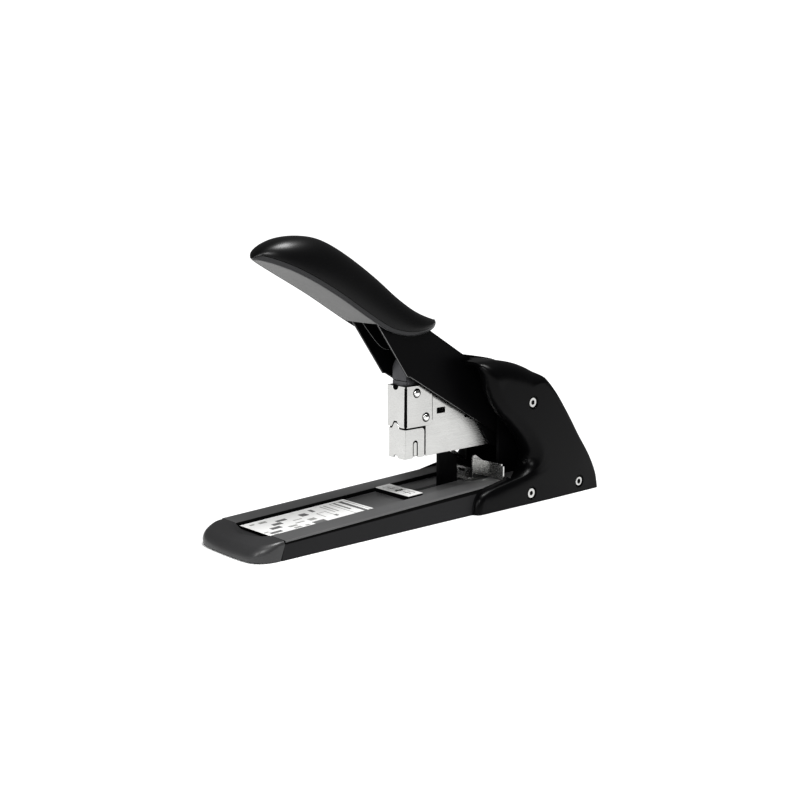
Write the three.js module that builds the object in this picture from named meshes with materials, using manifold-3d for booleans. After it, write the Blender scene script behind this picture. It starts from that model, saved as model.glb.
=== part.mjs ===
// Heavy-duty office stapler: a wide steel base, a rear housing, a long press lever and a
// magazine that swings down onto the anvil. Millimetres, +Z up, Y from the nose to the rear.
// Everything is drawn with Y measured from the nose tip; the last lines centre the whole.
import * as THREE from 'three';
import { mergeVertices } from 'three/addons/utils/BufferGeometryUtils.js';
import Module from 'manifold-3d';

const wasm = await Module();
wasm.setup();

// ---------------------------------------------------------------- driving dimensions
const LENGTH = 276;
const BASE_HALF = 31;
const HOUSING_HALF = 36;
const GAP = 0.3;
const SHEET = 1.5;
const FLOOR_GAP = 0.4;

// base: its top rises gently from the nose seam to the rear
const SEAM_Y = 19.5;
const SEAM_LEAN = 2.7;
const SEAM_TOP = 11;
const BASE_SLOPE = 0.037;
const BASE_END = 262;
const RAIL_INNER = 17;
const RECESS = 2.3;
const SLOT_HALF = 2;

// pivots
const LEVER_Y = 209;
const LEVER_Z = 65.4;
const AXLE_R = 4;
const MAGAZINE_AXLE_Y = 245.5;
const MAGAZINE_AXLE_Z = 34;
const MAGAZINE_AXLE_R = 3;
const BRACKET_HALF = 15.4;

// lever arm: a folded channel whose top edge falls towards the rear
const ARM_HALF = 11.8;
const ARM_TOP_Y = 143.6;
const ARM_TOP_Z = 112.9;
const ARM_FALL = 0.604;

// magazine
const MAG_FRONT = 126.5;
const MAG_BOTTOM = 36;
const MAG_HALF = 7.3;
const MAG_SHEET = 0.8;
const CAP_HALF = 8.4;
const CAP_TOP = 80.6;
const CAP_CORNER = 7.2;
const CAP_SPLIT = 54.8;
const CAP_REAR = 147.5;
const LOWER_CAP_REAR = 142.8;
const FINGER_X = -1;
const FINGER_R = 2.4;
const RAIL_TOP = 54;
const RAIL_HALF = 5.4;
const STAPLE_HALF = 6.35;
const STAPLE_WIRE = 0.8;
const STRIP_START = 129.4;
const STRIP_LENGTH = 56;

// housing and its screws
const HOUSING_ROUND = 12;
const WALL = 2.5;
const SPINE_HALF = 7;
const SCREW_Y = [209, 255.3];
const SCREW_Z = [6.8, 7.4];
const SCREW_HEAD_R = 3.1;
const SCREW_SHANK_R = 1.9;
const BOSS_R = 6.5;
const ROD_HALF = 31;

const baseTop = (y) => SEAM_TOP + BASE_SLOPE * (y - SEAM_Y);
const trayFloor = (y) => baseTop(y) - RECESS;
const armTop = (y) => ARM_TOP_Z - ARM_FALL * (y - ARM_TOP_Y);

// ---------------------------------------------------------------- materials
const paint = (color, roughness, metalness = 0) =>
  new THREE.MeshStandardMaterial({ color, roughness, metalness });
const glossBlack = paint(0x0b0b0d, 0.15);
const satinBlack = paint(0x17181a, 0.35);
const rimGrey = paint(0x2b2d30, 0.4);
const noseGrey = paint(0x2c2d2f, 0.55);
const insertGrey = paint(0x77797c, 0.6);
const nickel = paint(0xd3d2ce, 0.25, 1);
const zincSteel = paint(0x9a9b9d, 0.35, 1);
const darkSteel = paint(0x4a4b4e, 0.4, 1);
const labelWhite = paint(0xf0f0ee, 0.5);
const rubberBlack = paint(0x1b1b1b, 0.9);

// ---------------------------------------------------------------- geometry helpers
const TO_SIDE = new THREE.Matrix4().makeBasis(
  new THREE.Vector3(0, 1, 0), new THREE.Vector3(0, 0, 1), new THREE.Vector3(1, 0, 0));
const TO_ACROSS = new THREE.Matrix4().makeBasis(
  new THREE.Vector3(1, 0, 0), new THREE.Vector3(0, 0, 1), new THREE.Vector3(0, -1, 0));

function solid(geometry) {
  geometry.deleteAttribute('normal');
  geometry.deleteAttribute('uv');
  const merged = mergeVertices(geometry, 1e-4);
  return new wasm.Manifold(new wasm.Mesh({
    numProp: 3,
    vertProperties: new Float32Array(merged.attributes.position.array),
    triVerts: new Uint32Array(merged.index.array),
  }));
}

function geometryOf(piece) {
  const mesh = piece.getMesh();
  const geometry = new THREE.BufferGeometry();
  geometry.setAttribute('position', new THREE.BufferAttribute(mesh.vertProperties, 3));
  geometry.setIndex(new THREE.BufferAttribute(mesh.triVerts, 1));
  geometry.computeVertexNormals();
  return geometry;
}

const sorted = (a, b) => [Math.min(a, b), Math.max(a, b)];
const points = (list) => list.map(([a, b]) => new THREE.Vector2(a, b));
const shapeOf = (list) => new THREE.Shape(points(list));

// A smooth open curve through a few [y, z] points, as a list of points.
const curveThrough = (list, steps) =>
  new THREE.SplineCurve(points(list)).getPoints(steps).map((p) => [p.x, p.y]);

// A side outline [y, z] extruded across the width from x0 to x1.
function sidePlate(outline, x0, x1) {
  const shape = outline instanceof THREE.Shape ? outline : shapeOf(outline);
  const geometry = new THREE.ExtrudeGeometry(shape, { depth: x1 - x0, bevelEnabled: false });
  return solid(geometry.translate(0, 0, x0).applyMatrix4(TO_SIDE));
}

// A cross-section [x, z] extruded along the length from y0 to y1.
function lengthBar(section, y0, y1) {
  const settings = { depth: y1 - y0, bevelEnabled: false };
  const geometry = new THREE.ExtrudeGeometry(shapeOf(section), settings);
  return solid(geometry.applyMatrix4(TO_ACROSS).translate(0, y1, 0));
}

function block(x0, x1, y0, y1, z0, z1) {
  const geometry = new THREE.BoxGeometry(x1 - x0, y1 - y0, z1 - z0);
  return solid(geometry.translate((x0 + x1) / 2, (y0 + y1) / 2, (z0 + z1) / 2));
}

// A round rod along X.
function crossRod(radius, x0, x1, y, z, sides = 24) {
  const geometry = new THREE.CylinderGeometry(radius, radius, x1 - x0, sides);
  return solid(geometry.rotateZ(-Math.PI / 2).translate((x0 + x1) / 2, y, z));
}

const MIRROR_X = new THREE.Matrix4().makeScale(-1, 1, 1);

// The mirror image of a piece across the centre plane.
function mirrored(piece) {
  const geometry = geometryOf(piece).applyMatrix4(MIRROR_X);
  const order = geometry.index.array;
  for (let i = 0; i < order.length; i += 3) {
    [order[i], order[i + 1]] = [order[i + 1], order[i]];
  }
  return solid(geometry);
}

// Raises a piece drawn above a level base so that it stands on the sloping base top.
const ON_SLOPE = new THREE.Matrix4().set(
  1, 0, 0, 0,
  0, 1, 0, SEAM_Y,
  0, BASE_SLOPE, 1, SEAM_TOP,
  0, 0, 0, 1);
const onSlope = (piece) => solid(geometryOf(piece).applyMatrix4(ON_SLOPE));

// A closed skin through rings of points that all have the same count.
function loft(rings) {
  const count = rings[0].length;
  const vertices = rings.flat();
  const middle = (ring) => ring
    .reduce((sum, p) => sum.add(p), new THREE.Vector3())
    .divideScalar(count);
  vertices.push(middle(rings[0]), middle(rings[rings.length - 1]));
  const triangles = [];
  for (let i = 0; i < rings.length - 1; i += 1) {
    for (let j = 0; j < count; j += 1) {
      const a = i * count + j;
      const b = i * count + ((j + 1) % count);
      triangles.push(a, b, b + count, a, b + count, a + count);
    }
  }
  const last = (rings.length - 1) * count;
  const front = rings.length * count;
  for (let j = 0; j < count; j += 1) {
    const next = (j + 1) % count;
    triangles.push(front, next, j, front + 1, last + j, last + next);
  }
  const geometry = new THREE.BufferGeometry().setFromPoints(vertices);
  geometry.setIndex(triangles);
  return solid(geometry);
}

// A spring of round wire along X, centred on the origin.
function coil(radius, wire, length, turns) {
  const steps = turns * 8;
  const path = [];
  for (let i = 0; i <= steps; i += 1) {
    const turn = (2 * Math.PI * i * turns) / steps;
    path.push(new THREE.Vector3(
      length * (i / steps - 0.5), radius * Math.cos(turn), radius * Math.sin(turn)));
  }
  const ring = new THREE.Shape();
  ring.absarc(0, 0, wire / 2, 0, 2 * Math.PI, false);
  return new THREE.ExtrudeGeometry(ring, {
    steps, curveSegments: 3, extrudePath: new THREE.CatmullRomCurve3(path), bevelEnabled: false,
  });
}

const stapler = new THREE.Group();
stapler.name = 'stapler';
stapler.position.y = -LENGTH / 2;

function add(name, piece, material) {
  const mesh = new THREE.Mesh(geometryOf(piece), material);
  mesh.name = name;
  stapler.add(mesh);
}

// ---------------------------------------------------------------- base
// Only the rubber feet reach the floor.
const aboveFloor = block(-50, 50, -10, 300, FLOOR_GAP, 150);

// The seam between nose and base leans forward towards the floor.
const seamY = (z) => SEAM_Y - SEAM_LEAN * (1 - z / SEAM_TOP);

function noseCap() {
  const plan = new THREE.Shape();
  plan.moveTo(-BASE_HALF, SEAM_Y + 1);
  plan.lineTo(-BASE_HALF, 15);
  plan.bezierCurveTo(-BASE_HALF, 7, -28, 3.4, -20, 1.8);
  plan.quadraticCurveTo(0, -1.8, 20, 1.8);
  plan.bezierCurveTo(28, 3.4, BASE_HALF, 7, BASE_HALF, 15);
  plan.lineTo(BASE_HALF, SEAM_Y + 1);
  const rim = 3;
  const body = solid(new THREE.ExtrudeGeometry(plan, {
    depth: SEAM_TOP, curveSegments: 10, bevelThickness: rim, bevelSize: rim, bevelOffset: -rim,
    bevelSegments: 4,
  }));
  const profile = new THREE.Shape();
  profile.moveTo(0, 0);
  profile.lineTo(0, 2.6);
  profile.bezierCurveTo(0.3, 5.6, 5, 8.2, 10, 9.8);
  profile.bezierCurveTo(14, 10.8, 17, 11, SEAM_Y, SEAM_TOP);
  profile.lineTo(seamY(0), 0);
  const scoop = solid(new THREE.SphereGeometry(1, 32, 16)
    .scale(RAIL_INNER, 10, RECESS).translate(0, SEAM_Y + 0.5, SEAM_TOP));
  const hollow = sidePlate([[9, -1], [9, 3.4], [13, 5.6], [30, 5.6], [30, -1]],
    -BASE_HALF + 2 * WALL, BASE_HALF - 2 * WALL);
  return body.intersect(sidePlate(profile, -BASE_HALF - 1, BASE_HALF + 1))
    .subtract(scoop).subtract(hollow).intersect(aboveFloor);
}

// A channel, open below: two side walls and a sunk web. Its walls fall slowly away from the
// tray above, which leaves a shadow groove that widens towards the rear.
function baseSkirt() {
  const webTop = -RECESS - SHEET - 0.5;
  const grooveFront = -2;
  const grooveRear = -3.4;
  const outline = [
    [seamY(0) + GAP, FLOOR_GAP], [BASE_END, FLOOR_GAP], [BASE_END, baseTop(BASE_END) + grooveRear],
    [seamY(9) + GAP, baseTop(SEAM_Y) + grooveFront]];
  const beyond = BASE_END + 1;
  const above = [
    [0, baseTop(0) + webTop], [beyond, baseTop(beyond) + webTop], [beyond, 60], [0, 60]];
  const rearWall = BASE_END - SHEET;
  const hollowTop = (y) => baseTop(y) + webTop - SHEET;
  const below = [
    [0, -1], [rearWall, -1], [rearWall, hollowTop(rearWall)], [0, hollowTop(0)]];
  const across = BASE_HALF - SHEET;
  const slot = block(-SLOT_HALF - 4.5, SLOT_HALF + 4.5, 132, 182, 3, 20);
  let skirt = sidePlate(outline, -BASE_HALF, BASE_HALF)
    .subtract(sidePlate(below, -across, across))
    .subtract(sidePlate(above, -across, across))
    .subtract(slot);
  SCREW_Y.forEach((y, i) => {
    skirt = skirt.subtract(crossRod(AXLE_R + GAP, -BASE_HALF - 1, BASE_HALF + 1, y, SCREW_Z[i]));
  });
  return skirt;
}

// One formed sheet: two raised rails with a thin edge, and a sunk floor with the stop's slot.
function baseTray() {
  const edge = 1.1;
  const upper = [[BASE_HALF, -edge], [BASE_HALF, -0.3], [BASE_HALF - 0.3, 0], [RAIL_INNER + 0.4, 0],
    [RAIL_INNER - 0.4, -RECESS]];
  const lower = [[RAIL_INNER + 0.9, -edge], [RAIL_INNER - 1.6, -RECESS - SHEET]];
  const flip = (list) => list.map(([x, z]) => [-x, z]).reverse();
  const section = [...upper, ...flip(upper), ...flip([...lower].reverse()), ...[...lower].reverse()];
  const slot = block(-SLOT_HALF, SLOT_HALF, 117.5, 158.5, -10, 1);
  return onSlope(lengthBar(section, GAP, BASE_END - SEAM_Y).subtract(slot));
}

function instructionLabel() {
  const half = RAIL_INNER - 1;
  const lift = GAP / 2;
  const thick = 0.3;
  return onSlope(block(-half, half, 1.8, 77.2, lift - RECESS, lift + thick - RECESS));
}

function anvilPlate() {
  const top = 0.7;
  let plate = block(-15.5, 15.5, 102.5, 113.8, -RECESS + GAP / 2, top);
  for (const side of [-1, 1]) {
    const groove = solid(new THREE.CylinderGeometry(1.1, 1.1, 5.6, 16)
      .rotateZ(Math.PI / 2).translate(side * 4.1, 108.6, top + 0.3));
    plate = plate.subtract(groove);
  }
  return onSlope(plate);
}

// The sliding stop: a blade through the tray's slot, on a wider shoe that runs under the tray.
function depthStop() {
  const front = 140.7;
  const rear = front + 15.5;
  const foot = -RECESS - 3;
  const outline = [
    [front, foot], [front, 18.2], [front + 0.8, 19], [front + 7.5, 19], [rear, 13.5], [rear, foot]];
  const blade = sidePlate(outline, -1.5, 1.5);
  const shoe = block(-5, 5, front, rear, foot - 2, foot + 0.4);
  return onSlope(blade.add(shoe));
}

// A bent sheet bracket: front wall with a slot, two sloping sides and two wings.
function paperBackStop() {
  const t = 1.2;
  const foot = -RECESS + GAP / 2;
  const y0 = 161.5;
  const y1 = 176;
  const wingY = 169;
  const frontWall = block(-9.5, 9.5, y0, y0 + t, foot, 5.9)
    .subtract(block(-2.8, 2.8, y0 - 1, y0 + 2, 2.6, 4.4));
  const apron = block(-7, 7, y0 - 3.4, y0 + 0.1, foot, foot + t);
  const sideOutline = [
    [y0, foot], [y0, 13.4], [y0 + 1, 14.4], [y0 + 2.6, 14.2], [y1, 5.6], [y1, foot]];
  let bracket = frontWall.add(apron).add(block(-10, 10, y0, y1, foot, foot + t));
  for (const side of [-1, 1]) {
    const wall = sidePlate(sideOutline, ...sorted(side * 9, side * 10.2));
    const [x0, x1] = sorted(side * 9.2, side * 29.6);
    const wing = block(x0, x1, wingY, wingY + t, GAP, 10.2)
      .subtract(block(...sorted(side * 28, side * 30), wingY - 1, wingY + 3, 9, 11));
    bracket = bracket.add(wall).add(wing);
  }
  return onSlope(bracket);
}

function rubberFoot(x, y) {
  const height = baseTop(y) - RECESS - 2 * SHEET - 0.5 - GAP;
  return solid(new THREE.CylinderGeometry(6, 6.6, height, 24)
    .rotateX(Math.PI / 2).translate(x, y, height / 2));
}

add('nose_cap', noseCap(), noseGrey);
add('base_skirt', baseSkirt(), satinBlack);
add('base_tray', baseTray(), satinBlack);
add('instruction_label', instructionLabel(), labelWhite);
add('anvil_plate', anvilPlate(), nickel);
add('depth_stop', depthStop(), satinBlack);
add('paper_back_stop', paperBackStop(), nickel);
[[-20, 34], [20, 34], [-20, 236], [20, 236]].forEach(([x, y], i) => {
  add(`rubber_foot_${i + 1}`, rubberFoot(x, y), rubberBlack);
});

// ---------------------------------------------------------------- rear housing
const HOUSING_FRONT = 160.8;
const roofLine = curveThrough([
  [168.8, 93.2], [178, 93.5], [187, 93.1], [203, 89.6], [219, 82.5], [231, 72], [243, 56.5], [255, 39],
  [266, 24], [273.5, 11], [LENGTH, 0]], 20);
const housingOutline = [
  [HOUSING_FRONT, -24], [HOUSING_FRONT, 60], [165, 90], ...roofLine, [LENGTH, -24]];

// The outline moved inwards by a distance, point by point along the corner bisectors.
function insetOutline(outline, distance) {
  const corners = points(outline);
  const count = corners.length;
  return corners.map((corner, i) => {
    const before = corner.clone().sub(corners[(i + count - 1) % count]).normalize();
    const after = corners[(i + 1) % count].clone().sub(corner).normalize();
    const inward = new THREE.Vector2(before.y + after.y, -before.x - after.x).normalize();
    const reach = distance / Math.max(inward.dot(new THREE.Vector2(after.y, -after.x)), 0.3);
    return corner.clone().addScaledVector(inward, reach);
  });
}

// The housing body at a given inset from its outer face, with rounded shoulders.
function housingBlank(inset) {
  const steps = 4;
  const rings = [];
  const ringAt = (turn, side) => {
    const x = side * (HOUSING_HALF - inset - HOUSING_ROUND * (1 - Math.sin(turn)));
    const back = inset + HOUSING_ROUND * (1 - Math.cos(turn));
    return insetOutline(housingOutline, back).map((p) => new THREE.Vector3(x, p.x, p.y)).reverse();
  };
  for (let i = 0; i <= steps; i += 1) {
    rings.push(ringAt((Math.PI / 2) * (1 - i / steps), -1));
  }
  for (let i = 0; i <= steps; i += 1) {
    rings.push(ringAt((Math.PI / 2) * (i / steps), 1));
  }
  return loft(rings);
}

// The open front: it sweeps back from the lip and runs forward again over the toe.
function frontOpening(x0, x1) {
  const sweep = curveThrough([
    [170, 91.5], [172, 84], [173.5, 77], [178, 68.5], [185, 60], [193, 52.8], [200.5, 45.5],
    [207, 38], [210.6, 30.5], [208, 23.5], [198, 18.9], [184, 16.2], [171, 13.8],
    [164.6, 10.8], [161.8, 6], [160.4, 1]], 22);
  return sidePlate([[140, 91.5], ...sweep, [140, 1]], x0, x1);
}

// The room that the base takes inside the housing.
const baseRoom = sidePlate([
  [150, -1], [BASE_END + GAP, -1], [BASE_END + GAP, baseTop(BASE_END) + GAP],
  [150, baseTop(150) + GAP]], -BASE_HALF - GAP, BASE_HALF + GAP);

// The notch in the roof where the arm comes through.
const armNotch = sidePlate([
  [140, 60], [140, armTop(140) + 1.4], [205, armTop(205) + 1.4], [205, 60]],
  -ARM_HALF - 1, ARM_HALF + 1);

function housingShell() {
  let shell = housingBlank(0).subtract(housingBlank(WALL));
  for (let i = 0; i < 3; i += 1) {
    const [y, z] = [[LEVER_Y, LEVER_Z], [SCREW_Y[0], SCREW_Z[0]], [SCREW_Y[1], SCREW_Z[1]]][i];
    shell = shell.add(crossRod(BOSS_R, ROD_HALF + GAP, HOUSING_HALF - 1, y, z))
      .subtract(crossRod(SCREW_HEAD_R + 1.1, HOUSING_HALF - 3, HOUSING_HALF + 2, y, z, 32))
      .subtract(crossRod(SCREW_SHANK_R + GAP, 0, HOUSING_HALF, y, z));
  }
  return shell.subtract(frontOpening(-50, 50)).subtract(baseRoom).subtract(armNotch)
    .intersect(aboveFloor)
    .intersect(block(SPINE_HALF + GAP, 50, 100, 300, -10, 150));
}

// The spine stands slightly proud of the two shells along the roof and the back.
function housingSpine() {
  const proud = 0.8;
  return housingBlank(-proud).subtract(housingBlank(WALL - 0.5)).subtract(frontOpening(-50, 50))
    .subtract(baseRoom).subtract(armNotch)
    .intersect(block(-SPINE_HALF, SPINE_HALF, 166, LENGTH, 0.4, 150));
}

// The bracket that carries both axles: two uprights joined by a foot on the tray floor.
function frameBracket() {
  const lift = 0.4;
  const front = 199;
  const rear = 253;
  const outline = [
    [front, trayFloor(front) + lift], [rear, trayFloor(rear) + lift], [rear, 32], [247, 41],
    [223, 70], [213, 76], [204, 76], [199, 70]];
  const inside = [
    [front - 5, trayFloor(front - 5) + lift + 2], [rear + 5, trayFloor(rear + 5) + lift + 2],
    [rear + 5, 100], [front - 5, 100]];
  return sidePlate(outline, -BRACKET_HALF, BRACKET_HALF)
    .subtract(sidePlate(inside, 2 - BRACKET_HALF, BRACKET_HALF - 2))
    .subtract(crossRod(AXLE_R + GAP, -20, 20, LEVER_Y, LEVER_Z))
    .subtract(crossRod(MAGAZINE_AXLE_R + GAP, -20, 20, MAGAZINE_AXLE_Y, MAGAZINE_AXLE_Z));
}

// A rod across the housing with a blind hole in each end for its screw.
function tappedRod(y, z) {
  const depth = 7;
  return crossRod(AXLE_R, -ROD_HALF, ROD_HALF, y, z, 32)
    .subtract(crossRod(SCREW_SHANK_R + GAP, ROD_HALF - depth, ROD_HALF + 1, y, z))
    .subtract(crossRod(SCREW_SHANK_R + GAP, -ROD_HALF - 1, -ROD_HALF + depth, y, z));
}

function housingScrew(y, z) {
  const seat = HOUSING_HALF - 3 + GAP / 2;
  const head = crossRod(SCREW_HEAD_R, seat, seat + 2, y, z, 32);
  const socket = solid(new THREE.CylinderGeometry(1.6, 1.6, 2, 6)
    .rotateZ(Math.PI / 2).translate(seat + 2, y, z));
  return head.add(crossRod(SCREW_SHANK_R, ROD_HALF - 6, seat + 1, y, z)).subtract(socket);
}

const shell = housingShell();
add('housing_shell_right', shell, glossBlack);
add('housing_shell_left', mirrored(shell), glossBlack);
add('housing_spine', housingSpine(), glossBlack);
add('frame_bracket', frameBracket(), satinBlack);
add('lever_axle', tappedRod(LEVER_Y, LEVER_Z), zincSteel);
add('magazine_axle', crossRod(MAGAZINE_AXLE_R, -17, 17, MAGAZINE_AXLE_Y, MAGAZINE_AXLE_Z), zincSteel);
add('front_cross_rod', tappedRod(SCREW_Y[0], SCREW_Z[0]), zincSteel);
add('rear_cross_rod', tappedRod(SCREW_Y[1], SCREW_Z[1]), zincSteel);
const screwPlaces = [
  ['axle', LEVER_Y, LEVER_Z], ['front', SCREW_Y[0], SCREW_Z[0]], ['rear', SCREW_Y[1], SCREW_Z[1]]];
for (const [name, y, z] of screwPlaces) {
  const screw = housingScrew(y, z);
  add(`${name}_screw_right`, screw, nickel);
  add(`${name}_screw_left`, mirrored(screw), nickel);
}
const leverSpring = coil(6, 1.6, 13, 6).translate(0, LEVER_Y, LEVER_Z);
add('lever_return_spring', solid(leverSpring), darkSteel);

// ---------------------------------------------------------------- lever and grip
const GRIP_PIN_R = 2;
const GRIP_PINS = [[78, 145.5], [108, 127.5]];
const PRESSER_Y = 133.5;
const PRESSER_BOTTOM = 96.3;

// Grip profiles along Y, each a smooth curve through a few points.
const GRIP_TIP = 22.5;
const GRIP_END = 156;
const profileOf = (list) => {
  const curve = new THREE.SplineCurve(points(list)).getPoints(160);
  return (y) => {
    let i = curve.findIndex((p) => p.x >= y);
    i = i < 1 ? 1 : i;
    const [a, b] = [curve[i - 1], curve[i]];
    return a.y + ((b.y - a.y) * (y - a.x)) / (b.x - a.x);
  };
};
const gripTop = profileOf([
  [22, 160.6], [25.7, 165], [32, 168.6], [41, 171.2], [52.4, 172], [64, 170.3], [76, 165.4],
  [90.4, 157.1], [105.3, 147], [118, 137], [128.6, 129.6], [136.6, 125.2], [145, 121.8],
  [153, 119.4], [157, 118.6]]);
const gripBottom = profileOf([
  [22, 160], [27, 158.8], [34, 156.2], [43.5, 152], [57.5, 144.9], [72, 136.8], [86.5, 127.9],
  [97.5, 121.2], [107, 116], [115, 113.4], [124, 112], [134, 112.2], [145, 113.7], [157, 115.4]]);
const gripHalf = profileOf([
  [22, 1.4], [25.5, 6], [29, 9], [34, 12], [41, 14.8], [51, 16.7], [64, 17.2], [95, 16.8],
  [122, 17], [134, 15.8], [143, 12.6], [149, 8.9], [153, 5.2], [157, 2]]);

// One cross-section of the grip: flat below, full at the sides, domed on top.
function gripRing(y, inset) {
  const low = gripBottom(y) + inset * 0.2;
  const high = gripTop(y) - inset * 1.15;
  const half = Math.max(gripHalf(y) - inset, 0.6);
  const tall = Math.max(high - low, 0.6);
  const ring = [];
  const dome = 12;
  for (let i = 0; i <= dome; i += 1) {
    const turn = (Math.PI * i) / dome;
    const across = Math.sign(Math.cos(turn)) * Math.abs(Math.cos(turn)) ** 0.8;
    const rise = Math.sin(turn) ** 0.9;
    ring.push(new THREE.Vector3(half * across, y, low + tall * (0.28 + 0.72 * rise)));
  }
  ring.push(new THREE.Vector3(-half * 0.9, y, low));
  ring.push(new THREE.Vector3(half * 0.9, y, low));
  return ring.reverse();
}

function gripBlank(inset, y0, y1) {
  const rings = [];
  const count = 22;
  for (let i = 0; i <= count; i += 1) {
    const share = (1 - Math.cos((Math.PI * i) / count)) / 2;
    rings.push(gripRing(y0 + (y1 - y0) * share, inset));
  }
  return loft(rings);
}

// The side area between a profile along the grip and a far level.
function sideRegion(edge, level, y0, y1) {
  const outline = [];
  for (let i = 0; i <= 16; i += 1) {
    const y = y0 + ((y1 - y0) * i) / 16;
    outline.push([y, edge(y)]);
  }
  outline.push([y1, level], [y0, level]);
  return sidePlate(level < 100 ? outline.reverse() : outline, -30, 30);
}

const RIM_HEIGHT = 2.7;
const partingLine = (y) => gripBottom(y) + Math.min(RIM_HEIGHT, 0.5 * (gripTop(y) - gripBottom(y)));
const PANEL_START = 25;
const PANEL_END = 98;
const PANEL_INSET = 1.6;
const PANEL_THICK = 2;

const armOutline = [
  [124.5, 87.2], [100.2, 121.6], [97, 126.4], [70, 143.4], [66, 148], [67.5, armTop(67.5)],
  ...curveThrough([[212, armTop(212)], [218.8, 65], [218, 53], [209.5, 44.6], [199, 44.4]], 8),
  [189.1, 50.2], [126.5, 87.2]];

const armClearance = () => {
  const grown = [
    [60, 140], [60, armTop(60) + 0.6], [170, armTop(170) + 0.6], [170, 60], [124, 84], [99, 119],
    [97, 122]];
  return sidePlate(grown, -ARM_HALF - GAP, ARM_HALF + GAP);
};

// The shell of the grip: hollow, with an opening below for the palm panel and the arm.
function gripShellBlank() {
  const cavity = gripBlank(WALL, GRIP_TIP + 4.5, GRIP_END - 6);
  const panelRoom = gripBlank(PANEL_INSET - GAP, PANEL_START - GAP, GRIP_END - 6)
    .intersect(sideRegion((y) => gripBottom(y) + PANEL_THICK + 2 * GAP, 60, 20, PANEL_END + GAP));
  const armRoom = sideRegion((y) => gripBottom(y) + 5, 60, PANEL_END, 139)
    .intersect(block(-ARM_HALF - 1.2, ARM_HALF + 1.2, 0, 200, 0, 200));
  return gripBlank(0, GRIP_TIP, GRIP_END).subtract(cavity).subtract(panelRoom)
    .subtract(armRoom).subtract(armClearance());
}

// The palm panel fills the front of the grip's underside and ends in a straight cut.
function gripPanel() {
  return gripBlank(PANEL_INSET, PANEL_START, GRIP_END - 8)
    .intersect(sideRegion((y) => gripBottom(y) + PANEL_THICK, 60, 20, PANEL_END));
}

function leverArm() {
  const inside = [
    [40, armTop(40) - 1.75], [198, armTop(198) - 1.75], [198, 130], [240, 130], [240, 20], [40, 20]];
  let arm = sidePlate(armOutline, -ARM_HALF, ARM_HALF)
    .subtract(sidePlate(inside, -ARM_HALF + SHEET, ARM_HALF - SHEET))
    .subtract(crossRod(AXLE_R + GAP, -20, 20, LEVER_Y, LEVER_Z, 32));
  for (const [y, z] of GRIP_PINS) {
    arm = arm.subtract(crossRod(GRIP_PIN_R + GAP, -20, 20, y, z));
  }
  return arm;
}

// The block under the arm's web that bears on the driver; its foot is a half round.
function leverPresser() {
  const radius = 3.2;
  const shape = new THREE.Shape();
  shape.moveTo(PRESSER_Y + radius, armTop(PRESSER_Y + radius) - 2.1);
  shape.lineTo(PRESSER_Y - radius, armTop(PRESSER_Y - radius) - 2.1);
  shape.lineTo(PRESSER_Y - radius, PRESSER_BOTTOM + radius);
  shape.absarc(PRESSER_Y, PRESSER_BOTTOM + radius, radius, Math.PI, 2 * Math.PI, false);
  return sidePlate(shape, -5.8, 5.8);
}

const gripShell = gripShellBlank();
add('grip_top', gripShell.intersect(sideRegion(partingLine, 300, 10, 170)), glossBlack);
add('grip_rim', gripShell.intersect(sideRegion((y) => partingLine(y) - GAP, 60, 10, 170)), rimGrey);
add('grip_underside', gripPanel(), insertGrey);
add('lever_arm', leverArm(), satinBlack);
add('lever_presser', leverPresser(), darkSteel);
GRIP_PINS.forEach(([y, z], i) => {
  add(`grip_pin_${i + 1}`, crossRod(GRIP_PIN_R, -12.6, 12.6, y, z), zincSteel);
});

// ---------------------------------------------------------------- driver
const RAM_TOP = 96;
const RAM_FRONT = 127.8;
const RAM_BOTTOM = 75.5;
const BLADE_BOTTOM = 55.8;

function driverRam() {
  const outline = [
    [RAM_FRONT, RAM_BOTTOM], [138.5, RAM_BOTTOM], [138.5, RAM_TOP], [RAM_FRONT, RAM_TOP]];
  const section = [
    [-6.2, RAM_BOTTOM - 1], [6.2, RAM_BOTTOM - 1], [6.2, RAM_TOP - 4], [3.6, RAM_TOP],
    [-3.6, RAM_TOP], [-6.2, RAM_TOP - 4]];
  const body = sidePlate(outline, -6.2, 6.2).intersect(lengthBar(section, 120, 145));
  return body.subtract(block(-7, 7, 120, RAM_FRONT + 1.3, RAM_BOTTOM - 1, RAM_BOTTOM + 8));
}

function driverBlade() {
  const front = RAM_FRONT + 0.1;
  return block(-6.1, 6.1, front, front + 1, BLADE_BOTTOM, RAM_BOTTOM + 7.8);
}

add('driver_ram', driverRam(), darkSteel);
add('driver_blade', driverBlade(), zincSteel);

// ---------------------------------------------------------------- magazine
const MAG_REAR = 238;

function magazineChannel() {
  const outline = [
    [LOWER_CAP_REAR + GAP, MAG_BOTTOM], [MAG_REAR, MAG_BOTTOM], [MAG_REAR, 57], [202, 58],
    [152, 78], [MAG_FRONT + 0.6, 78], [MAG_FRONT + 0.6, CAP_SPLIT + GAP],
    [LOWER_CAP_REAR + GAP, CAP_SPLIT + GAP]];
  const inner = MAG_HALF - MAG_SHEET;
  const hollow = [
    [100, 20], [100, 90], [158, 90], [158, 74.4], [202, 56.8], [MAG_REAR + 5, 55.8], [MAG_REAR + 5, 20]];
  const window = block(-20, 20, 152.4, 159.4, 61.4, 64.8);
  const notch = block(-20, 20, 176.2, 183.8, 56.2, 60);
  return sidePlate(outline, -MAG_HALF, MAG_HALF)
    .subtract(sidePlate(hollow, -inner, inner))
    .subtract(window)
    .subtract(notch);
}

// A round disc facing the front, in line with the finger of the lower cap.
const frontDisc = (radius, thick, y, z) => solid(
  new THREE.CylinderGeometry(radius, radius, thick, 24).translate(FINGER_X, y, z));

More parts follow.
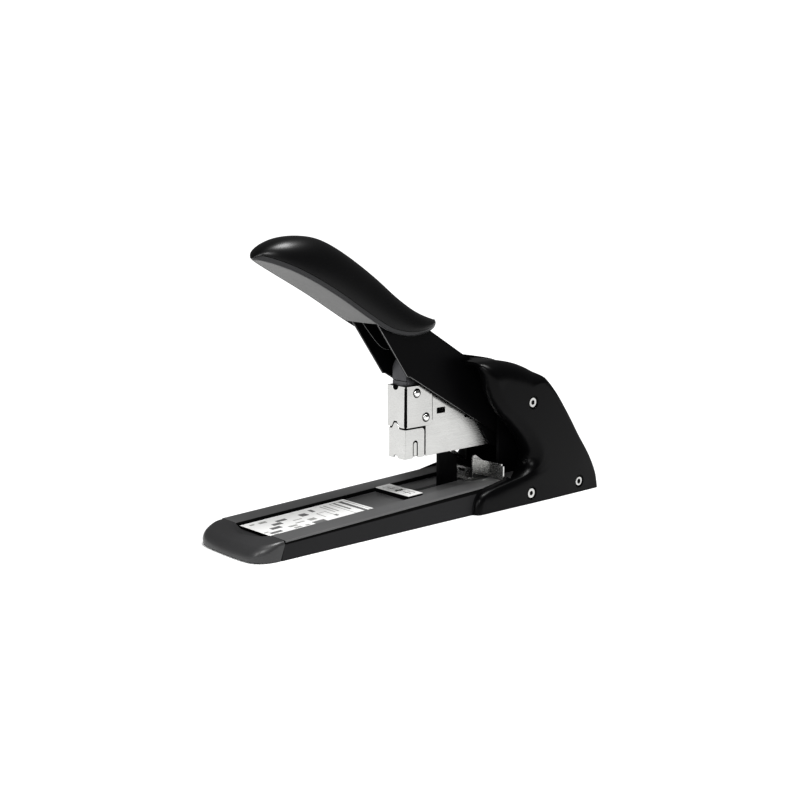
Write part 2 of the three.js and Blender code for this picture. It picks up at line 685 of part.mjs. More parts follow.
// The bright cap in front of the driver: a half-round notch in its top edge, and corners that are
// open below a narrow bridge.
function upperCap() {
  const front = MAG_FRONT - MAG_SHEET;
  const seam = [
    [front, CAP_SPLIT - 0.2], [front, CAP_TOP], [138, CAP_TOP], [CAP_REAR, CAP_TOP - 1],
    [CAP_REAR, CAP_SPLIT + 3], [CAP_REAR - 3, CAP_SPLIT]];
  const inner = CAP_HALF - MAG_SHEET;
  let cap = sidePlate(seam, -CAP_HALF, CAP_HALF)
    .subtract(block(-inner, inner, MAG_FRONT, 160, 40, 90));
  const notch = frontDisc(2.6, 6, MAG_FRONT, CAP_TOP);
  const finger = frontDisc(FINGER_R + GAP, 6, MAG_FRONT, CAP_SPLIT + 0.6);
  for (const side of [-1, 1]) {
    const x0 = side > 0 ? CAP_CORNER : -CAP_HALF - 1;
    cap = cap.subtract(block(
      x0, x0 + CAP_HALF + 1 - CAP_CORNER, front - 1, MAG_FRONT + 0.4, CAP_SPLIT - 3, CAP_TOP - 1));
  }
  return cap.subtract(notch).subtract(finger).subtract(rivetHoles());
}

const RIVETS = [[134.8, 76], [142.3, 60.4]];
const RIVET_R = 1.8;
const rivetHoles = () => RIVETS
  .map(([y, z]) => crossRod(RIVET_R + GAP, -12, 12, y, z, 20))
  .reduce((all, hole) => all.add(hole));

function capRivet([y, z]) {
  const head = crossRod(2.6, CAP_HALF + 0.15, CAP_HALF + 1, y, z, 24);
  return head.add(crossRod(RIVET_R, MAG_HALF + 0.2, CAP_HALF + 0.5, y, z, 20));
}

// The lower cap closes the front of the staple drawer; a rounded finger rises from its top edge.
function lowerCap() {
  const outline = [
    [MAG_FRONT, MAG_BOTTOM - 0.1], [LOWER_CAP_REAR, MAG_BOTTOM - 0.1], [LOWER_CAP_REAR, CAP_SPLIT - 2.6],
    [LOWER_CAP_REAR - 1.4, CAP_SPLIT - GAP - 0.2], [MAG_FRONT, CAP_SPLIT - GAP - 0.2]];
  const inner = MAG_HALF - MAG_SHEET;
  const finger = frontDisc(FINGER_R, MAG_SHEET, MAG_FRONT + MAG_SHEET / 2, CAP_SPLIT - 0.4);
  const sideSlot = new THREE.Shape();
  sideSlot.moveTo(132.7, 30);
  sideSlot.lineTo(132.7, 44.6);
  sideSlot.absarc(134.7, 44.6, 2, Math.PI, 0, true);
  sideSlot.lineTo(136.7, 30);
  const exit = frontDisc(1.5, 6, MAG_FRONT, MAG_BOTTOM);
  return sidePlate(outline, -MAG_HALF, MAG_HALF)
    .subtract(block(-inner, inner, MAG_FRONT + MAG_SHEET, 160, 20, 90))
    .subtract(sidePlate(sideSlot, -20, 20).subtract(block(-inner, inner, 100, 160, 0, 90)))
    .add(finger).subtract(exit);
}

// The inner rail is an upside-down channel, open below, that the staples straddle.
function stapleRail() {
  const y0 = STRIP_START;
  const y1 = MAG_REAR + 0.2;
  const inner = RAIL_HALF - MAG_SHEET;
  return block(-RAIL_HALF, RAIL_HALF, y0, y1, MAG_BOTTOM + 0.6, RAIL_TOP)
    .subtract(block(-inner, inner, y0 - 1, y1 - MAG_SHEET, 30, RAIL_TOP - MAG_SHEET));
}

function stapleStrip() {
  const low = RAIL_TOP + 0.2;
  const leg = 14;
  const inner = STAPLE_HALF - STAPLE_WIRE;
  const end = STRIP_START + STRIP_LENGTH;
  return block(-STAPLE_HALF, STAPLE_HALF, STRIP_START, end, low + 1 - leg, low + 1)
    .subtract(block(-inner, inner, STRIP_START - 1, end + 1, 20, low));
}

function staplePusher() {
  const y0 = STRIP_START + STRIP_LENGTH + GAP;
  const y1 = y0 + 14;
  const inner = RAIL_HALF + 0.2;
  return block(-6.1, 6.1, y0, y1, 42, RAIL_TOP + 1.6)
    .subtract(block(-inner, inner, y0 - 1, y1 + 1, 20, RAIL_TOP + 0.2));
}

// The black bracket that joins the magazine to its axle.
function magazineCarrier() {
  const inner = MAG_HALF + 0.4;
  const outer = inner + SHEET;
  const shape = new THREE.Shape();
  shape.moveTo(182.6, 57);
  shape.lineTo(197.6, 35.6);
  shape.lineTo(240, 28.6);
  shape.absarc(MAGAZINE_AXLE_Y, MAGAZINE_AXLE_Z, 6, -1.4, 0.6, false);
  shape.lineTo(240.2, 46.5);
  shape.lineTo(232, 56);
  const webCut = [[170, 20], [170, 70], [238.6, 70], [238.6, 20]];
  const rearCut = [[240.2, 20], [240.2, 70], [260, 70], [260, 20]];
  return sidePlate(shape, -outer, outer)
    .subtract(sidePlate(webCut, -inner, inner))
    .subtract(sidePlate(rearCut, -inner, inner))
    .subtract(crossRod(MAGAZINE_AXLE_R + GAP, -20, 20, MAGAZINE_AXLE_Y, MAGAZINE_AXLE_Z, 24));
}

add('magazine_channel', magazineChannel(), nickel);
add('upper_cap', upperCap(), nickel);
RIVETS.forEach((place, i) => {
  const rivet = capRivet(place);
  add(`cap_rivet_${2 * i + 1}`, rivet, nickel);
  add(`cap_rivet_${2 * i + 2}`, mirrored(rivet), nickel);
});
add('lower_cap', lowerCap(), nickel);
add('staple_rail', stapleRail(), zincSteel);
add('staple_strip', stapleStrip(), nickel);
add('staple_pusher', staplePusher(), darkSteel);
add('magazine_carrier', magazineCarrier(), satinBlack);
const pusherSpring = coil(3, 0.8, 46, 9).rotateZ(Math.PI / 2).translate(0, 212, 47);
add('pusher_spring', solid(pusherSpring), darkSteel);

export default stapler;
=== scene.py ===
"""Looks for the heavy-duty stapler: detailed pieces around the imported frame, studio and camera."""
import math
import bpy
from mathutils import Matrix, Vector


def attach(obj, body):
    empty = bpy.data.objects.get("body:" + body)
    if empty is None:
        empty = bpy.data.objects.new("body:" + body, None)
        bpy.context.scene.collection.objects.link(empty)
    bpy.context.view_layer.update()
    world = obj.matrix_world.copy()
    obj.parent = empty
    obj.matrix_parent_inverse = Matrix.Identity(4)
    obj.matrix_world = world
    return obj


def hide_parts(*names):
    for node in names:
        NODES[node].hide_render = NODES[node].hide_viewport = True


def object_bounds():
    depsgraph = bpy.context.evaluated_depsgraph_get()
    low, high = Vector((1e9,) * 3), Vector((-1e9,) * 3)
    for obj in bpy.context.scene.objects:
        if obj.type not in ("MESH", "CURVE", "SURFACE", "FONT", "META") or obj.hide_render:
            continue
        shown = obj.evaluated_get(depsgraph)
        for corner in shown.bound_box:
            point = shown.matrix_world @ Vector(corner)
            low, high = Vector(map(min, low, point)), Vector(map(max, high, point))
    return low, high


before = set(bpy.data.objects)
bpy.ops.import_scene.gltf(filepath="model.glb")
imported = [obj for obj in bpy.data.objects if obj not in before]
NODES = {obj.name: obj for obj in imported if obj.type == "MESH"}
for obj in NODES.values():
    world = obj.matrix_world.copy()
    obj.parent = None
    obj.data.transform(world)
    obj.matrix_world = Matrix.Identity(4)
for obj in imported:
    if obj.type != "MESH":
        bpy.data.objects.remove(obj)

MM = 0.001
CAD_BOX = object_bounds()
NOSE = CAD_BOX[0].y
LENGTH = 276.0


def at(x, y, z):
    """A point in metres from millimetres, with y measured from the nose tip."""
    return (x * MM, NOSE + y * MM, z * MM)


# ------------------------------------------------------------------ curves
PROFILE_COUNT = 260


def smooth_curve(points, count):
    """count points along a Catmull-Rom curve through a few [a, b] points."""
    ends = [points[0]] + list(points) + [points[-1]]
    spans = len(points) - 1
    out = []
    for i in range(count):
        place = i / (count - 1) * spans
        k = min(int(place), spans - 1)
        t = place - k
        p = ends[k:k + 4]
        out.append(tuple(
            0.5 * (2 * p[1][c] + (p[2][c] - p[0][c]) * t
                   + (2 * p[0][c] - 5 * p[1][c] + 4 * p[2][c] - p[3][c]) * t ** 2
                   + (3 * p[1][c] - p[0][c] - 3 * p[2][c] + p[3][c]) * t ** 3)
            for c in range(len(points[0]))))
    return out


def profile(points):
    """A function of y through a few [y, value] points."""
    curve = smooth_curve(points, PROFILE_COUNT)

    def value(y):
        if y <= curve[0][0]:
            return curve[0][1]
        for (y0, v0), (y1, v1) in zip(curve, curve[1:]):
            if y <= y1:
                return v0 + (v1 - v0) * (y - y0) / max(y1 - y0, 1e-9)
        return curve[-1][1]
    return value


def ease(low, high, value):
    """0 below low, 1 above high, smooth between."""
    t = min(max((value - low) / (high - low), 0.0), 1.0)
    return t * t * (3 - 2 * t)


def mix(a, b, t):
    """The value a share t of the way from a to b."""
    return a + (b - a) * t


def distance_to(line, y, z):
    """Shortest distance in the side view from a point to a polyline."""
    best = 1e9
    for (ay, az), (by, bz) in zip(line, line[1:]):
        dy, dz = by - ay, bz - az
        t = ((y - ay) * dy + (z - az) * dz) / (dy * dy + dz * dz)
        t = min(max(t, 0.0), 1.0)
        best = min(best, math.hypot(y - ay - t * dy, z - az - t * dz))
    return best


def across_path(path, i):
    """The unit direction square to a side-view path at its point i."""
    ay, az = path[max(i - 1, 0)]
    by, bz = path[min(i + 1, len(path) - 1)]
    size = math.hypot(by - ay, bz - az)
    return -(bz - az) / size, (by - ay) / size


def roll(distance, radius):
    """How far a rounded edge has dropped at this distance in from it."""
    if distance >= radius:
        return 0.0
    return radius - math.sqrt(radius ** 2 - (radius - distance) ** 2)


# ------------------------------------------------------------------ meshes
SHARP = math.radians(32)
SHELL_SHARP = math.radians(38)
FLAT_ANGLE = math.radians(1)
NODE_BEVEL_ANGLE = math.radians(40)
PLATE_BEVEL_ANGLE = math.radians(50)
NORMAL_WEIGHT = 80
WELD_GAP = 1e-6


def shade_smooth(mesh, angle):
    """Smooth shading, except across edges that turn more than the angle."""
    mesh.polygons.foreach_set("use_smooth", [True] * len(mesh.polygons))
    mesh.set_sharp_from_angle(angle=angle)


def piece(name, points, faces, body, material, replaces=()):
    """A smooth-shaded mesh piece from millimetre points, riding on a body."""
    mesh = bpy.data.meshes.new(name)
    mesh.from_pydata([at(*p) for p in points], [], faces)
    mesh.validate()
    mesh.update()
    shade_smooth(mesh, SHARP)
    obj = bpy.data.objects.new(name, mesh)
    bpy.context.scene.collection.objects.link(obj)
    mesh.materials.append(material)
    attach(obj, body)
    if replaces:
        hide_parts(*replaces)
    return obj


def grid_faces(rows, columns, wrap_rows=False, wrap_columns=False, flip=False):
    """Quads between rows of points that all have the same count."""
    faces = []
    for i in range(rows if wrap_rows else rows - 1):
        for j in range(columns if wrap_columns else columns - 1):
            a = i * columns + j
            b = i * columns + (j + 1) % columns
            c = ((i + 1) % rows) * columns + (j + 1) % columns
            d = ((i + 1) % rows) * columns + j
            faces.append((d, c, b, a) if flip else (a, b, c, d))
    return faces


def closed_loft(rings, flip=False):
    """(points, faces) of a closed skin through closed rings, with flat end faces."""
    count = len(rings[0])
    faces = grid_faces(len(rings), count, wrap_columns=True, flip=flip)
    first = list(range(count))
    last = [(len(rings) - 1) * count + j for j in range(count)]
    faces.append(tuple(first if flip else reversed(first)))
    faces.append(tuple(reversed(last) if flip else last))
    return [p for ring in rings for p in ring], faces


def joined_lofts(parts):
    """(points, faces) of several closed skins in one mesh."""
    points, faces = [], []
    for rings in parts:
        new_points, new_faces = closed_loft(rings)
        start = len(points)
        points += new_points
        faces += [tuple(start + i for i in face) for face in new_faces]
    return points, faces


def front_plate(outline, y0, y1):
    """Rings of a plate across the width; outline is [x, z]."""
    return [[(x, y, z) for x, z in outline] for y in (y0, y1)]


def side_plate(outline, x0, x1):
    """Rings of a plate along the length; outline is [y, z]."""
    return [[(x, y, z) for y, z in outline] for x in (x0, x1)]


def box_outline(x0, x1, y0, y1):
    """The four corners of an upright rectangle."""
    return [(x0, y0), (x1, y0), (x1, y1), (x0, y1)]


def round_corner(centre, radius, start, end, count=10):
    """Points of an arc from one angle to another, in degrees."""
    return [(centre[0] + radius * math.cos(math.radians(mix(start, end, i / count))),
             centre[1] + radius * math.sin(math.radians(mix(start, end, i / count))))
            for i in range(count + 1)]


def modifier(obj, kind, **settings):
    """Adds one modifier with its settings."""
    mod = obj.modifiers.new(kind.lower(), kind)
    for key, value in settings.items():
        setattr(mod, key, value)


def apply_modifiers(obj):
    """Makes the modified shape the piece's own mesh."""
    graph = bpy.context.evaluated_depsgraph_get()
    mesh = bpy.data.meshes.new_from_object(obj.evaluated_get(graph))
    obj.modifiers.clear()
    obj.data = mesh


def with_bevel(obj, edge=0.15):
    """Small rounded edges, edge millimetres wide."""
    modifier(obj, "BEVEL", width=edge * MM, segments=2, limit_method="ANGLE",
             angle_limit=PLATE_BEVEL_ANGLE, use_clamp_overlap=True)
    modifier(obj, "WEIGHTED_NORMAL", keep_sharp=True, weight=NORMAL_WEIGHT)


def finish_node(name, material, edge=0.25, segments=2):
    """Gives a CAD node its material, and small rounded edges through modifiers."""
    node = NODES[name]
    for slot in node.material_slots:
        slot.material = material
    attributes = node.data.attributes
    if "custom_normal" in attributes:
        attributes.remove(attributes["custom_normal"])
    modifier(node, "WELD", merge_threshold=WELD_GAP)
    modifier(node, "DECIMATE", decimate_type="DISSOLVE", angle_limit=FLAT_ANGLE)
    if edge:
        modifier(node, "BEVEL", width=edge * MM, segments=segments, limit_method="ANGLE",
                 angle_limit=NODE_BEVEL_ANGLE, use_clamp_overlap=True)
    modifier(node, "WEIGHTED_NORMAL", keep_sharp=True, weight=NORMAL_WEIGHT)


# ------------------------------------------------------------------ materials
# A noise mostly stays between these two values.
NOISE_LOW, NOISE_HIGH = 0.3, 0.7
# The places of a mix node's colour sockets. Its sockets for other types have the same names.
MIX_FACTOR, MIX_FIRST, MIX_SECOND, MIX_RESULT = 0, 6, 7, 2


class Nodes:
    """A short way to write a material's nodes."""

    def __init__(self, name):
        self.material = bpy.data.materials.new(name)
        self.material.use_nodes = True
        self.tree = self.material.node_tree
        self.shader = self.tree.nodes["Principled BSDF"]
        self.place = self.tree.nodes.new("ShaderNodeTexCoord").outputs["Object"]

    def node(self, kind, inputs=None, **settings):
        made = self.tree.nodes.new(kind)
        for key, value in settings.items():
            setattr(made, key, value)
        for key, value in (inputs or {}).items():
            self.put(made.inputs[key], value)
        return made

    def put(self, socket, value):
        if isinstance(value, bpy.types.NodeSocket):
            self.tree.links.new(value, socket)
        else:
            socket.default_value = value

    def set(self, **values):
        for key, value in values.items():
            self.put(self.shader.inputs[key.replace("_", " ")], value)

    def stretched(self, scale):
        """Object coordinates in millimetres times a scale per axis."""
        return self.node("ShaderNodeMapping", {
            "Vector": self.place, "Scale": tuple(1000 * s for s in scale)}).outputs["Vector"]

    def noise(self, scale=(1, 1, 1), detail=3.0, roughness=0.5):
        return self.node("ShaderNodeTexNoise", {
            "Vector": self.stretched(scale), "Scale": 1.0, "Detail": detail,
            "Roughness": roughness}).outputs["Fac"]

    def ramp(self, value, low, high):
        """Maps the usual spread of a noise to a range of numbers."""
        return self.node("ShaderNodeMapRange", {
            "Value": value, "From Min": NOISE_LOW, "From Max": NOISE_HIGH,
            "To Min": low, "To Max": high}).outputs["Result"]

    def bump(self, height, strength, depth):
        """depth is the height of the bumps in millimetres."""
        return self.node("ShaderNodeBump", {
            "Height": height, "Strength": strength, "Distance": depth * MM}).outputs["Normal"]


def colour_mix(nodes, value, first, second):
    """A colour between two, by a factor."""
    made = nodes.node("ShaderNodeMix", data_type="RGBA")
    nodes.put(made.inputs[MIX_FACTOR], value)
    made.inputs[MIX_FIRST].default_value = (*first, 1)
    made.inputs[MIX_SECOND].default_value = (*second, 1)
    return made.outputs[MIX_RESULT]


def plastic(name, dark, light, rough, grain, grain_depth, specular):
    """Moulded plastic or paint: slow tone change, varying gloss and a fine surface grain."""
    n = Nodes(name)
    slow = n.noise((0.03, 0.03, 0.03), 2)
    fine = n.noise((grain, grain, grain), 4, 0.6)
    n.set(Base_Color=colour_mix(n, slow, dark, light),
          Roughness=n.ramp(slow, *rough),
          Normal=n.bump(fine, 0.35, grain_depth))
    n.shader.inputs["Specular IOR Level"].default_value = specular
    return n.material


def plated(name, dark, light, rough, brush, brush_depth, metallic=1.0):
    """Plated or brushed steel: streaks along one direction and faint clouding."""
    n = Nodes(name)
    clouds = n.noise((0.08, 0.08, 0.08), 3)
    streaks = n.noise(brush, 3, 0.6)
    n.set(Base_Color=colour_mix(n, clouds, dark, light),
          Roughness=n.ramp(streaks, *rough),
          Normal=n.bump(streaks, 0.25, brush_depth))
    n.shader.inputs["Metallic"].default_value = metallic
    return n.material


GLOSS_BLACK = plastic("gloss_black_plastic", (0.0015, 0.0015, 0.0018), (0.0025, 0.0025, 0.0028),
                      (0.30, 0.34), 0.5, 0.001, specular=0.12)
DOME_BLACK = plastic("dome_black_plastic", (0.0015, 0.0015, 0.0018), (0.0025, 0.0025, 0.0028),
                     (0.33, 0.36), 0.5, 0.001, specular=0.36)
SATIN_BLACK = plastic("satin_black_paint", (0.002, 0.002, 0.0023), (0.0035, 0.0035, 0.004),
                      (0.34, 0.44), 2.2, 0.02, specular=0.07)
BASE_GREY = plastic("base_paint", (0.013, 0.013, 0.014), (0.018, 0.018, 0.019),
                    (0.36, 0.44), 2.4, 0.02, specular=0.16)
# The tray has the skirt's satin black paint. Its much lighter grey base colour is painted sheen for
# the white studio's grazing reflection on its top, added to the real reflection its specular gives.
RAIL_PAINTED_SHEEN_GREY = plastic("tray_paint_painted_sheen", (0.092, 0.092, 0.093), (0.112, 0.112, 0.113),
                    (0.28, 0.36), 2.4, 0.015, specular=0.5)
# Painted highlight: a grey for thin beads that stand in for the light caught along the arm's dark
# edges.
EDGE_HIGHLIGHT_GREY = plastic("painted_edge_highlight", (0.10, 0.10, 0.10), (0.15, 0.15, 0.15),
                    (0.40, 0.50), 2.0, 0.01, specular=0.4)
RIM_GREY = plastic("rim_grey_plastic", (0.018, 0.018, 0.019), (0.026, 0.026, 0.028),
                   (0.36, 0.44), 2.0, 0.015, specular=0.3)
NOSE_GREY = plastic("nose_grey_plastic", (0.030, 0.030, 0.031), (0.038, 0.038, 0.039),
                    (0.34, 0.40), 3.0, 0.02, specular=0.5)
INSERT_GREY = plastic("insert_grey_plastic", (0.125, 0.125, 0.124), (0.145, 0.145, 0.144),
                      (0.55, 0.65), 3.0, 0.05, specular=0.3)
# Painted shade: a flat black for the strips, rings and hexagons set into gaps, slots, sockets and
# grooves where only shade falls.
SHADE_BLACK = plastic("painted_shade_black", (0.002, 0.002, 0.002), (0.004, 0.004, 0.004),
                      (0.6, 0.7), 2.0, 0.01, specular=0.05)
POLISHED = plated("polished_rivet", (0.74, 0.74, 0.73), (0.80, 0.80, 0.79),
                  (0.08, 0.12), (1.0, 1.0, 1.0), 0.001)
RUBBER = plastic("rubber_black", (0.012, 0.012, 0.012), (0.02, 0.02, 0.02),
                 (0.75, 0.85), 1.5, 0.05, specular=0.3)
NICKEL = plated("nickel_plate", (0.48, 0.48, 0.47), (0.60, 0.60, 0.59),
                (0.22, 0.30), (0.6, 0.05, 3.0), 0.002)
ANVIL_BRIGHT = plated("anvil_plate_metal", (0.78, 0.78, 0.77), (0.86, 0.86, 0.85),
                      (0.30, 0.38), (0.6, 0.6, 0.6), 0.002, metallic=0.1)
ZINC = plated("zinc_steel", (0.50, 0.51, 0.52), (0.60, 0.61, 0.62),
              (0.32, 0.42), (2.0, 0.1, 2.0), 0.006)
DARK_STEEL = plated("dark_steel", (0.08, 0.08, 0.085), (0.12, 0.12, 0.125),
                    (0.36, 0.48), (2.0, 2.0, 0.2), 0.006)


def paper(name, tone, shade):
    """Matt paper or print with a fine fibre."""
    n = Nodes(name)
    fibre = n.noise((0.8, 0.8, 0.8), 5, 0.7)
    n.set(Base_Color=colour_mix(n, fibre, shade, tone), Normal=n.bump(fibre, 0.2, 0.01))
    n.shader.inputs["Roughness"].default_value = 0.5
    n.shader.inputs["Specular IOR Level"].default_value = 0.15
    return n.material


LABEL_WHITE = paper("label_paper", (0.90, 0.90, 0.89), (0.84, 0.84, 0.83))
PRINT_GREY = paper("label_print", (0.20, 0.20, 0.20), (0.15, 0.15, 0.15))
PRINT_PALE = paper("label_print_pale", (0.42, 0.42, 0.41), (0.34, 0.34, 0.33))

# ------------------------------------------------------------------ camera and studio
# The camera's place and its backward direction, in metres in the row frame.
CAMERA_PLACE = Vector((0.5394, -0.4829, 0.1934))
CAMERA_BACK = Vector((0.7410, -0.6504, 0.1675))
FOCAL_LENGTH = 54.06
SENSOR_WIDTH = 36.0
FLOOR_REACH = 6.0
# The white world is bright to the camera and dim to the object.
WORLD_ON_OBJECT = 0.13
WORLD_TO_CAMERA = 1.0
SUN_POWER = 3.0
SUN_SOFTNESS = math.radians(24)
SUN_TURN = (math.radians(-11), math.radians(8), 0)


def make_camera():
    """The camera, fitted to the view that the object is matched from."""
    data = bpy.data.cameras.new("camera")
    data.lens = FOCAL_LENGTH
    data.sensor_width = SENSOR_WIDTH
    camera = bpy.data.objects.new("camera", data)
    camera.location = CAMERA_PLACE
    camera.rotation_euler = CAMERA_BACK.to_track_quat("Z", "Y").to_euler()
    bpy.context.scene.collection.objects.link(camera)
    bpy.context.scene.camera = camera


def soft_light(name, place, target, width, height, power):
    """A rectangular lamp that points at the target."""
    data = bpy.data.lights.new(name, "AREA")
    data.shape = "RECTANGLE"
    data.size = width
    data.size_y = height
    data.energy = power
    light = bpy.data.objects.new(name, data)
    light.location = place
    light.rotation_euler = (Vector(place) - Vector(target)).to_track_quat("Z", "Y").to_euler()
    bpy.context.scene.collection.objects.link(light)


def make_floor():
    """A matt white floor."""
    mesh = bpy.data.meshes.new("floor")
    reach = FLOOR_REACH
    mesh.from_pydata([(-reach, -reach, 0), (reach, -reach, 0), (reach, reach, 0),
                      (-reach, reach, 0)], [], [(0, 1, 2, 3)])
    floor = bpy.data.objects.new("floor", mesh)
    bpy.context.scene.collection.objects.link(floor)
    n = Nodes("pale_floor")
    cloud = n.noise((0.004, 0.004, 0.004), 2)
    n.set(Base_Color=colour_mix(n, cloud, (0.90, 0.90, 0.90), (0.92, 0.92, 0.92)))
    n.shader.inputs["Roughness"].default_value = 0.9
    n.shader.inputs["Specular IOR Level"].default_value = 0.0
    mesh.materials.append(n.material)


def make_world():
    """A white world whose level depends on who sees it."""
    world = bpy.data.worlds.new("studio")
    world.use_nodes = True
    tree = world.node_tree
    rays = tree.nodes.new("ShaderNodeLightPath").outputs["Is Camera Ray"]
    level = tree.nodes.new("ShaderNodeMapRange")
    level.inputs["To Min"].default_value = WORLD_ON_OBJECT
    level.inputs["To Max"].default_value = WORLD_TO_CAMERA
    tree.links.new(rays, level.inputs["Value"])
    tree.links.new(level.outputs["Result"], tree.nodes["Background"].inputs["Strength"])
    tree.nodes["Background"].inputs["Color"].default_value = (1, 1, 1, 1)
    bpy.context.scene.world = world


def make_lights():
    """A soft sun overhead and two soft lamps in front."""
    data = bpy.data.lights.new("overhead", "SUN")
    data.energy = SUN_POWER
    data.angle = SUN_SOFTNESS
    overhead = bpy.data.objects.new("overhead", data)
    overhead.rotation_euler = SUN_TURN
    bpy.context.scene.collection.objects.link(overhead)
    soft_light("key_card", (0.81, -0.97, 0.98), (0, 0.05, 0.07), 0.32, 0.2, 8)
    soft_light("front_strip", (0.25, -1.3, 0.55), (0, 0, 0.08), 0.10, 0.5, 4)


def set_view():
    """How the picture turns light into colour."""
    view = bpy.context.scene.view_settings
    view.view_transform = "Standard"
    view.look = "Medium High Contrast"


# ------------------------------------------------------------------ grip
GRIP_TIP = 22.5
GRIP_END = 156.0
GRIP_TOP = profile([
    [22, 160.6], [25.7, 165], [32, 168.6], [41, 171.2], [52.4, 171.9], [64, 170.3], [76, 165.4],
    [90.4, 157.1], [105.3, 147], [118, 137], [128.6, 129.6], [136.6, 125.2], [145, 121.8],
    [153, 119.4], [157, 118.6]])
GRIP_BOTTOM = profile([
    [22, 160], [27, 158.8], [34, 156.2], [43.5, 152], [57.5, 144.9], [72, 136.8], [86.5, 127.9],
    [97.5, 121.2], [107, 116], [115, 113.4], [124, 112], [134, 112.2], [145, 113.7], [157, 115.4]])
GRIP_HALF = profile([
    [22, 0.6], [23.4, 2.6], [25.5, 5.6], [29, 8.8], [34, 12], [41, 14.8], [51, 16.7], [64, 17.2],
    [95, 16.8], [122, 17], [134, 15.8], [143, 12.6], [149, 8.9], [153, 5.2], [156.5, 1.2]])
RIM_TALL = 2.7
GRIP_WALL = 2.2
INSERT_START = GRIP_TIP + 2.2
INSERT_END = 98.0
INSERT_INSET = 1.9
INSERT_SINK = 0.25
INSERT_TALL = 1.7
INSERT_EDGE = 0.5
# Powers below 1 make the dome's section fuller than an ellipse.
ARCH_SIDE_POWER = 0.86
ARCH_TOP_POWER = 0.92
DOME_LIFT = 0.15


def grip_parting(y):
    """The height of the joint between the dome and the rim."""
    low, high = GRIP_BOTTOM(y), GRIP_TOP(y)
    return low + min(RIM_TALL, 0.45 * (high - low))


def grip_stations(start, end, count):
    """Places along the grip, closer together towards both ends."""
    return [start + (end - start) * (1 - math.cos(math.pi * i / count)) / 2
            for i in range(count + 1)]


def grip_arch(y, half, low, high, count):
    """Half a section of the grip, from its right edge over the top to its left edge."""
    points = []
    for i in range(count + 1):
        turn = math.pi * i / count
        across = math.copysign(abs(math.cos(turn)) ** ARCH_SIDE_POWER, math.cos(turn))
        points.append((half * across, y, mix(low, high, math.sin(turn) ** ARCH_TOP_POWER)))
    return points


def make_grip_top():
    """The hollow glossy dome of the grip."""
    count = 56
    rings = []
    for y in grip_stations(GRIP_TIP, GRIP_END, 90):
        low = grip_parting(y) + DOME_LIFT
        high = max(GRIP_TOP(y), low + 0.4)
        half = GRIP_HALF(y)
        wall = min(GRIP_WALL, 0.4 * (high - low), 0.4 * half)
        outer = grip_arch(y, half, low, high, count)
        inner = grip_arch(y, half - wall, low, high - wall, count)
        rings.append(outer + inner[::-1])
    points, faces = closed_loft(rings, flip=True)
    piece("grip_dome", points, faces, "lever", DOME_BLACK, ["grip_top"])


def make_grip_rim():
    """A band that runs round the grip below the dome, with a rolled lower edge."""
    stations = grip_stations(GRIP_TIP + 0.2, GRIP_END - 0.2, 80)
    path = [(1, y) for y in stations] + [(-1, y) for y in reversed(stations)]
    sections = []
    for side, y in path:
        half = GRIP_HALF(y) - 0.1
        high = grip_parting(y) - 0.1
        low = GRIP_BOTTOM(y)
        tall = high - low
        wall = min(2.4, half * 0.6)
        inner_y = min(max(y, GRIP_TIP + wall), GRIP_END - wall)
        shape = [(0.0, high), (0.25, mix(low, high, 0.55)), (0.75, mix(low, high, 0.2)),
                 (1.4, low + 0.04 * tall), (min(2.0, wall * 0.9), low), (wall, low + 0.3 * tall),
                 (wall, high)]
        sections.append([
            (side * (half - min(inset, wall)), mix(y, inner_y, min(inset, wall) / wall), z)
            for inset, z in shape])
    count = len(sections[0])
    faces = grid_faces(len(sections), count, wrap_rows=True, wrap_columns=True)
    points = [p for section in sections for p in section]
    piece("grip_rim_band", points, faces, "lever", RIM_GREY, ["grip_rim"])


def make_grip_insert():
    """The grey palm panel: it follows the grip's underside and ends in a straight cut."""
    rings = []
    stations = [INSERT_START + (INSERT_END - INSERT_START) * (i / 60) ** 1.5 for i in range(61)]
    across = [math.sin(math.pi / 2 * (i / 12)) for i in range(-12, 13)]
    for y in stations:
        half = GRIP_HALF(y) - INSERT_INSET
        low = GRIP_BOTTOM(y) - INSERT_SINK
        bottom = [(half * s, y, low + INSERT_EDGE * abs(s) ** 6) for s in across]
        top = [(half * s, y, low + INSERT_TALL) for s in reversed(across)]
        rings.append(bottom + top)
    points, faces = closed_loft(rings)
    piece("grip_palm_panel", points, faces, "lever", INSERT_GREY,
          ["grip_underside"])


# ------------------------------------------------------------------ lever arm
# The paths of the grey beads that paint the highlights on the arm plates' edges and on the
# stiffener's edge.
ARM_FRONT_EDGE = [(100.4, 121.3), (124.4, 87.3)]
ARM_LOWER_EDGE = [(124.8, 87.3), (126.5, 87.1), (168.0, 62.65)]
STIFFENER_EDGE = smooth_curve([
    [106.7, 120.0], [111.3, 114.4], [117.5, 107.4], [122.7, 103.0], [127.6, 101.6]], 16)
ARM_EDGE_X = 11.55
ARM_BEAD = 0.3
STIFFENER_X = -9.5
STIFFENER_BEAD = 0.28
STIFFENER_SIDES = (-9.9, -9.1)
BEAD_SIDES = 8


def edge_wire(path, x, radius):
    """Rings of a thin round bead along a [y, z] path at one x."""
    rings = []
    for i, (y, z) in enumerate(path):
        out_y, out_z = across_path(path, i)
        ring = []
        for j in range(BEAD_SIDES):
            turn = 2 * math.pi * j / BEAD_SIDES
            drop = radius * math.sin(turn)
            ring.append((x + radius * math.cos(turn), y - drop * out_y, z - drop * out_z))
        rings.append(ring)
    return rings


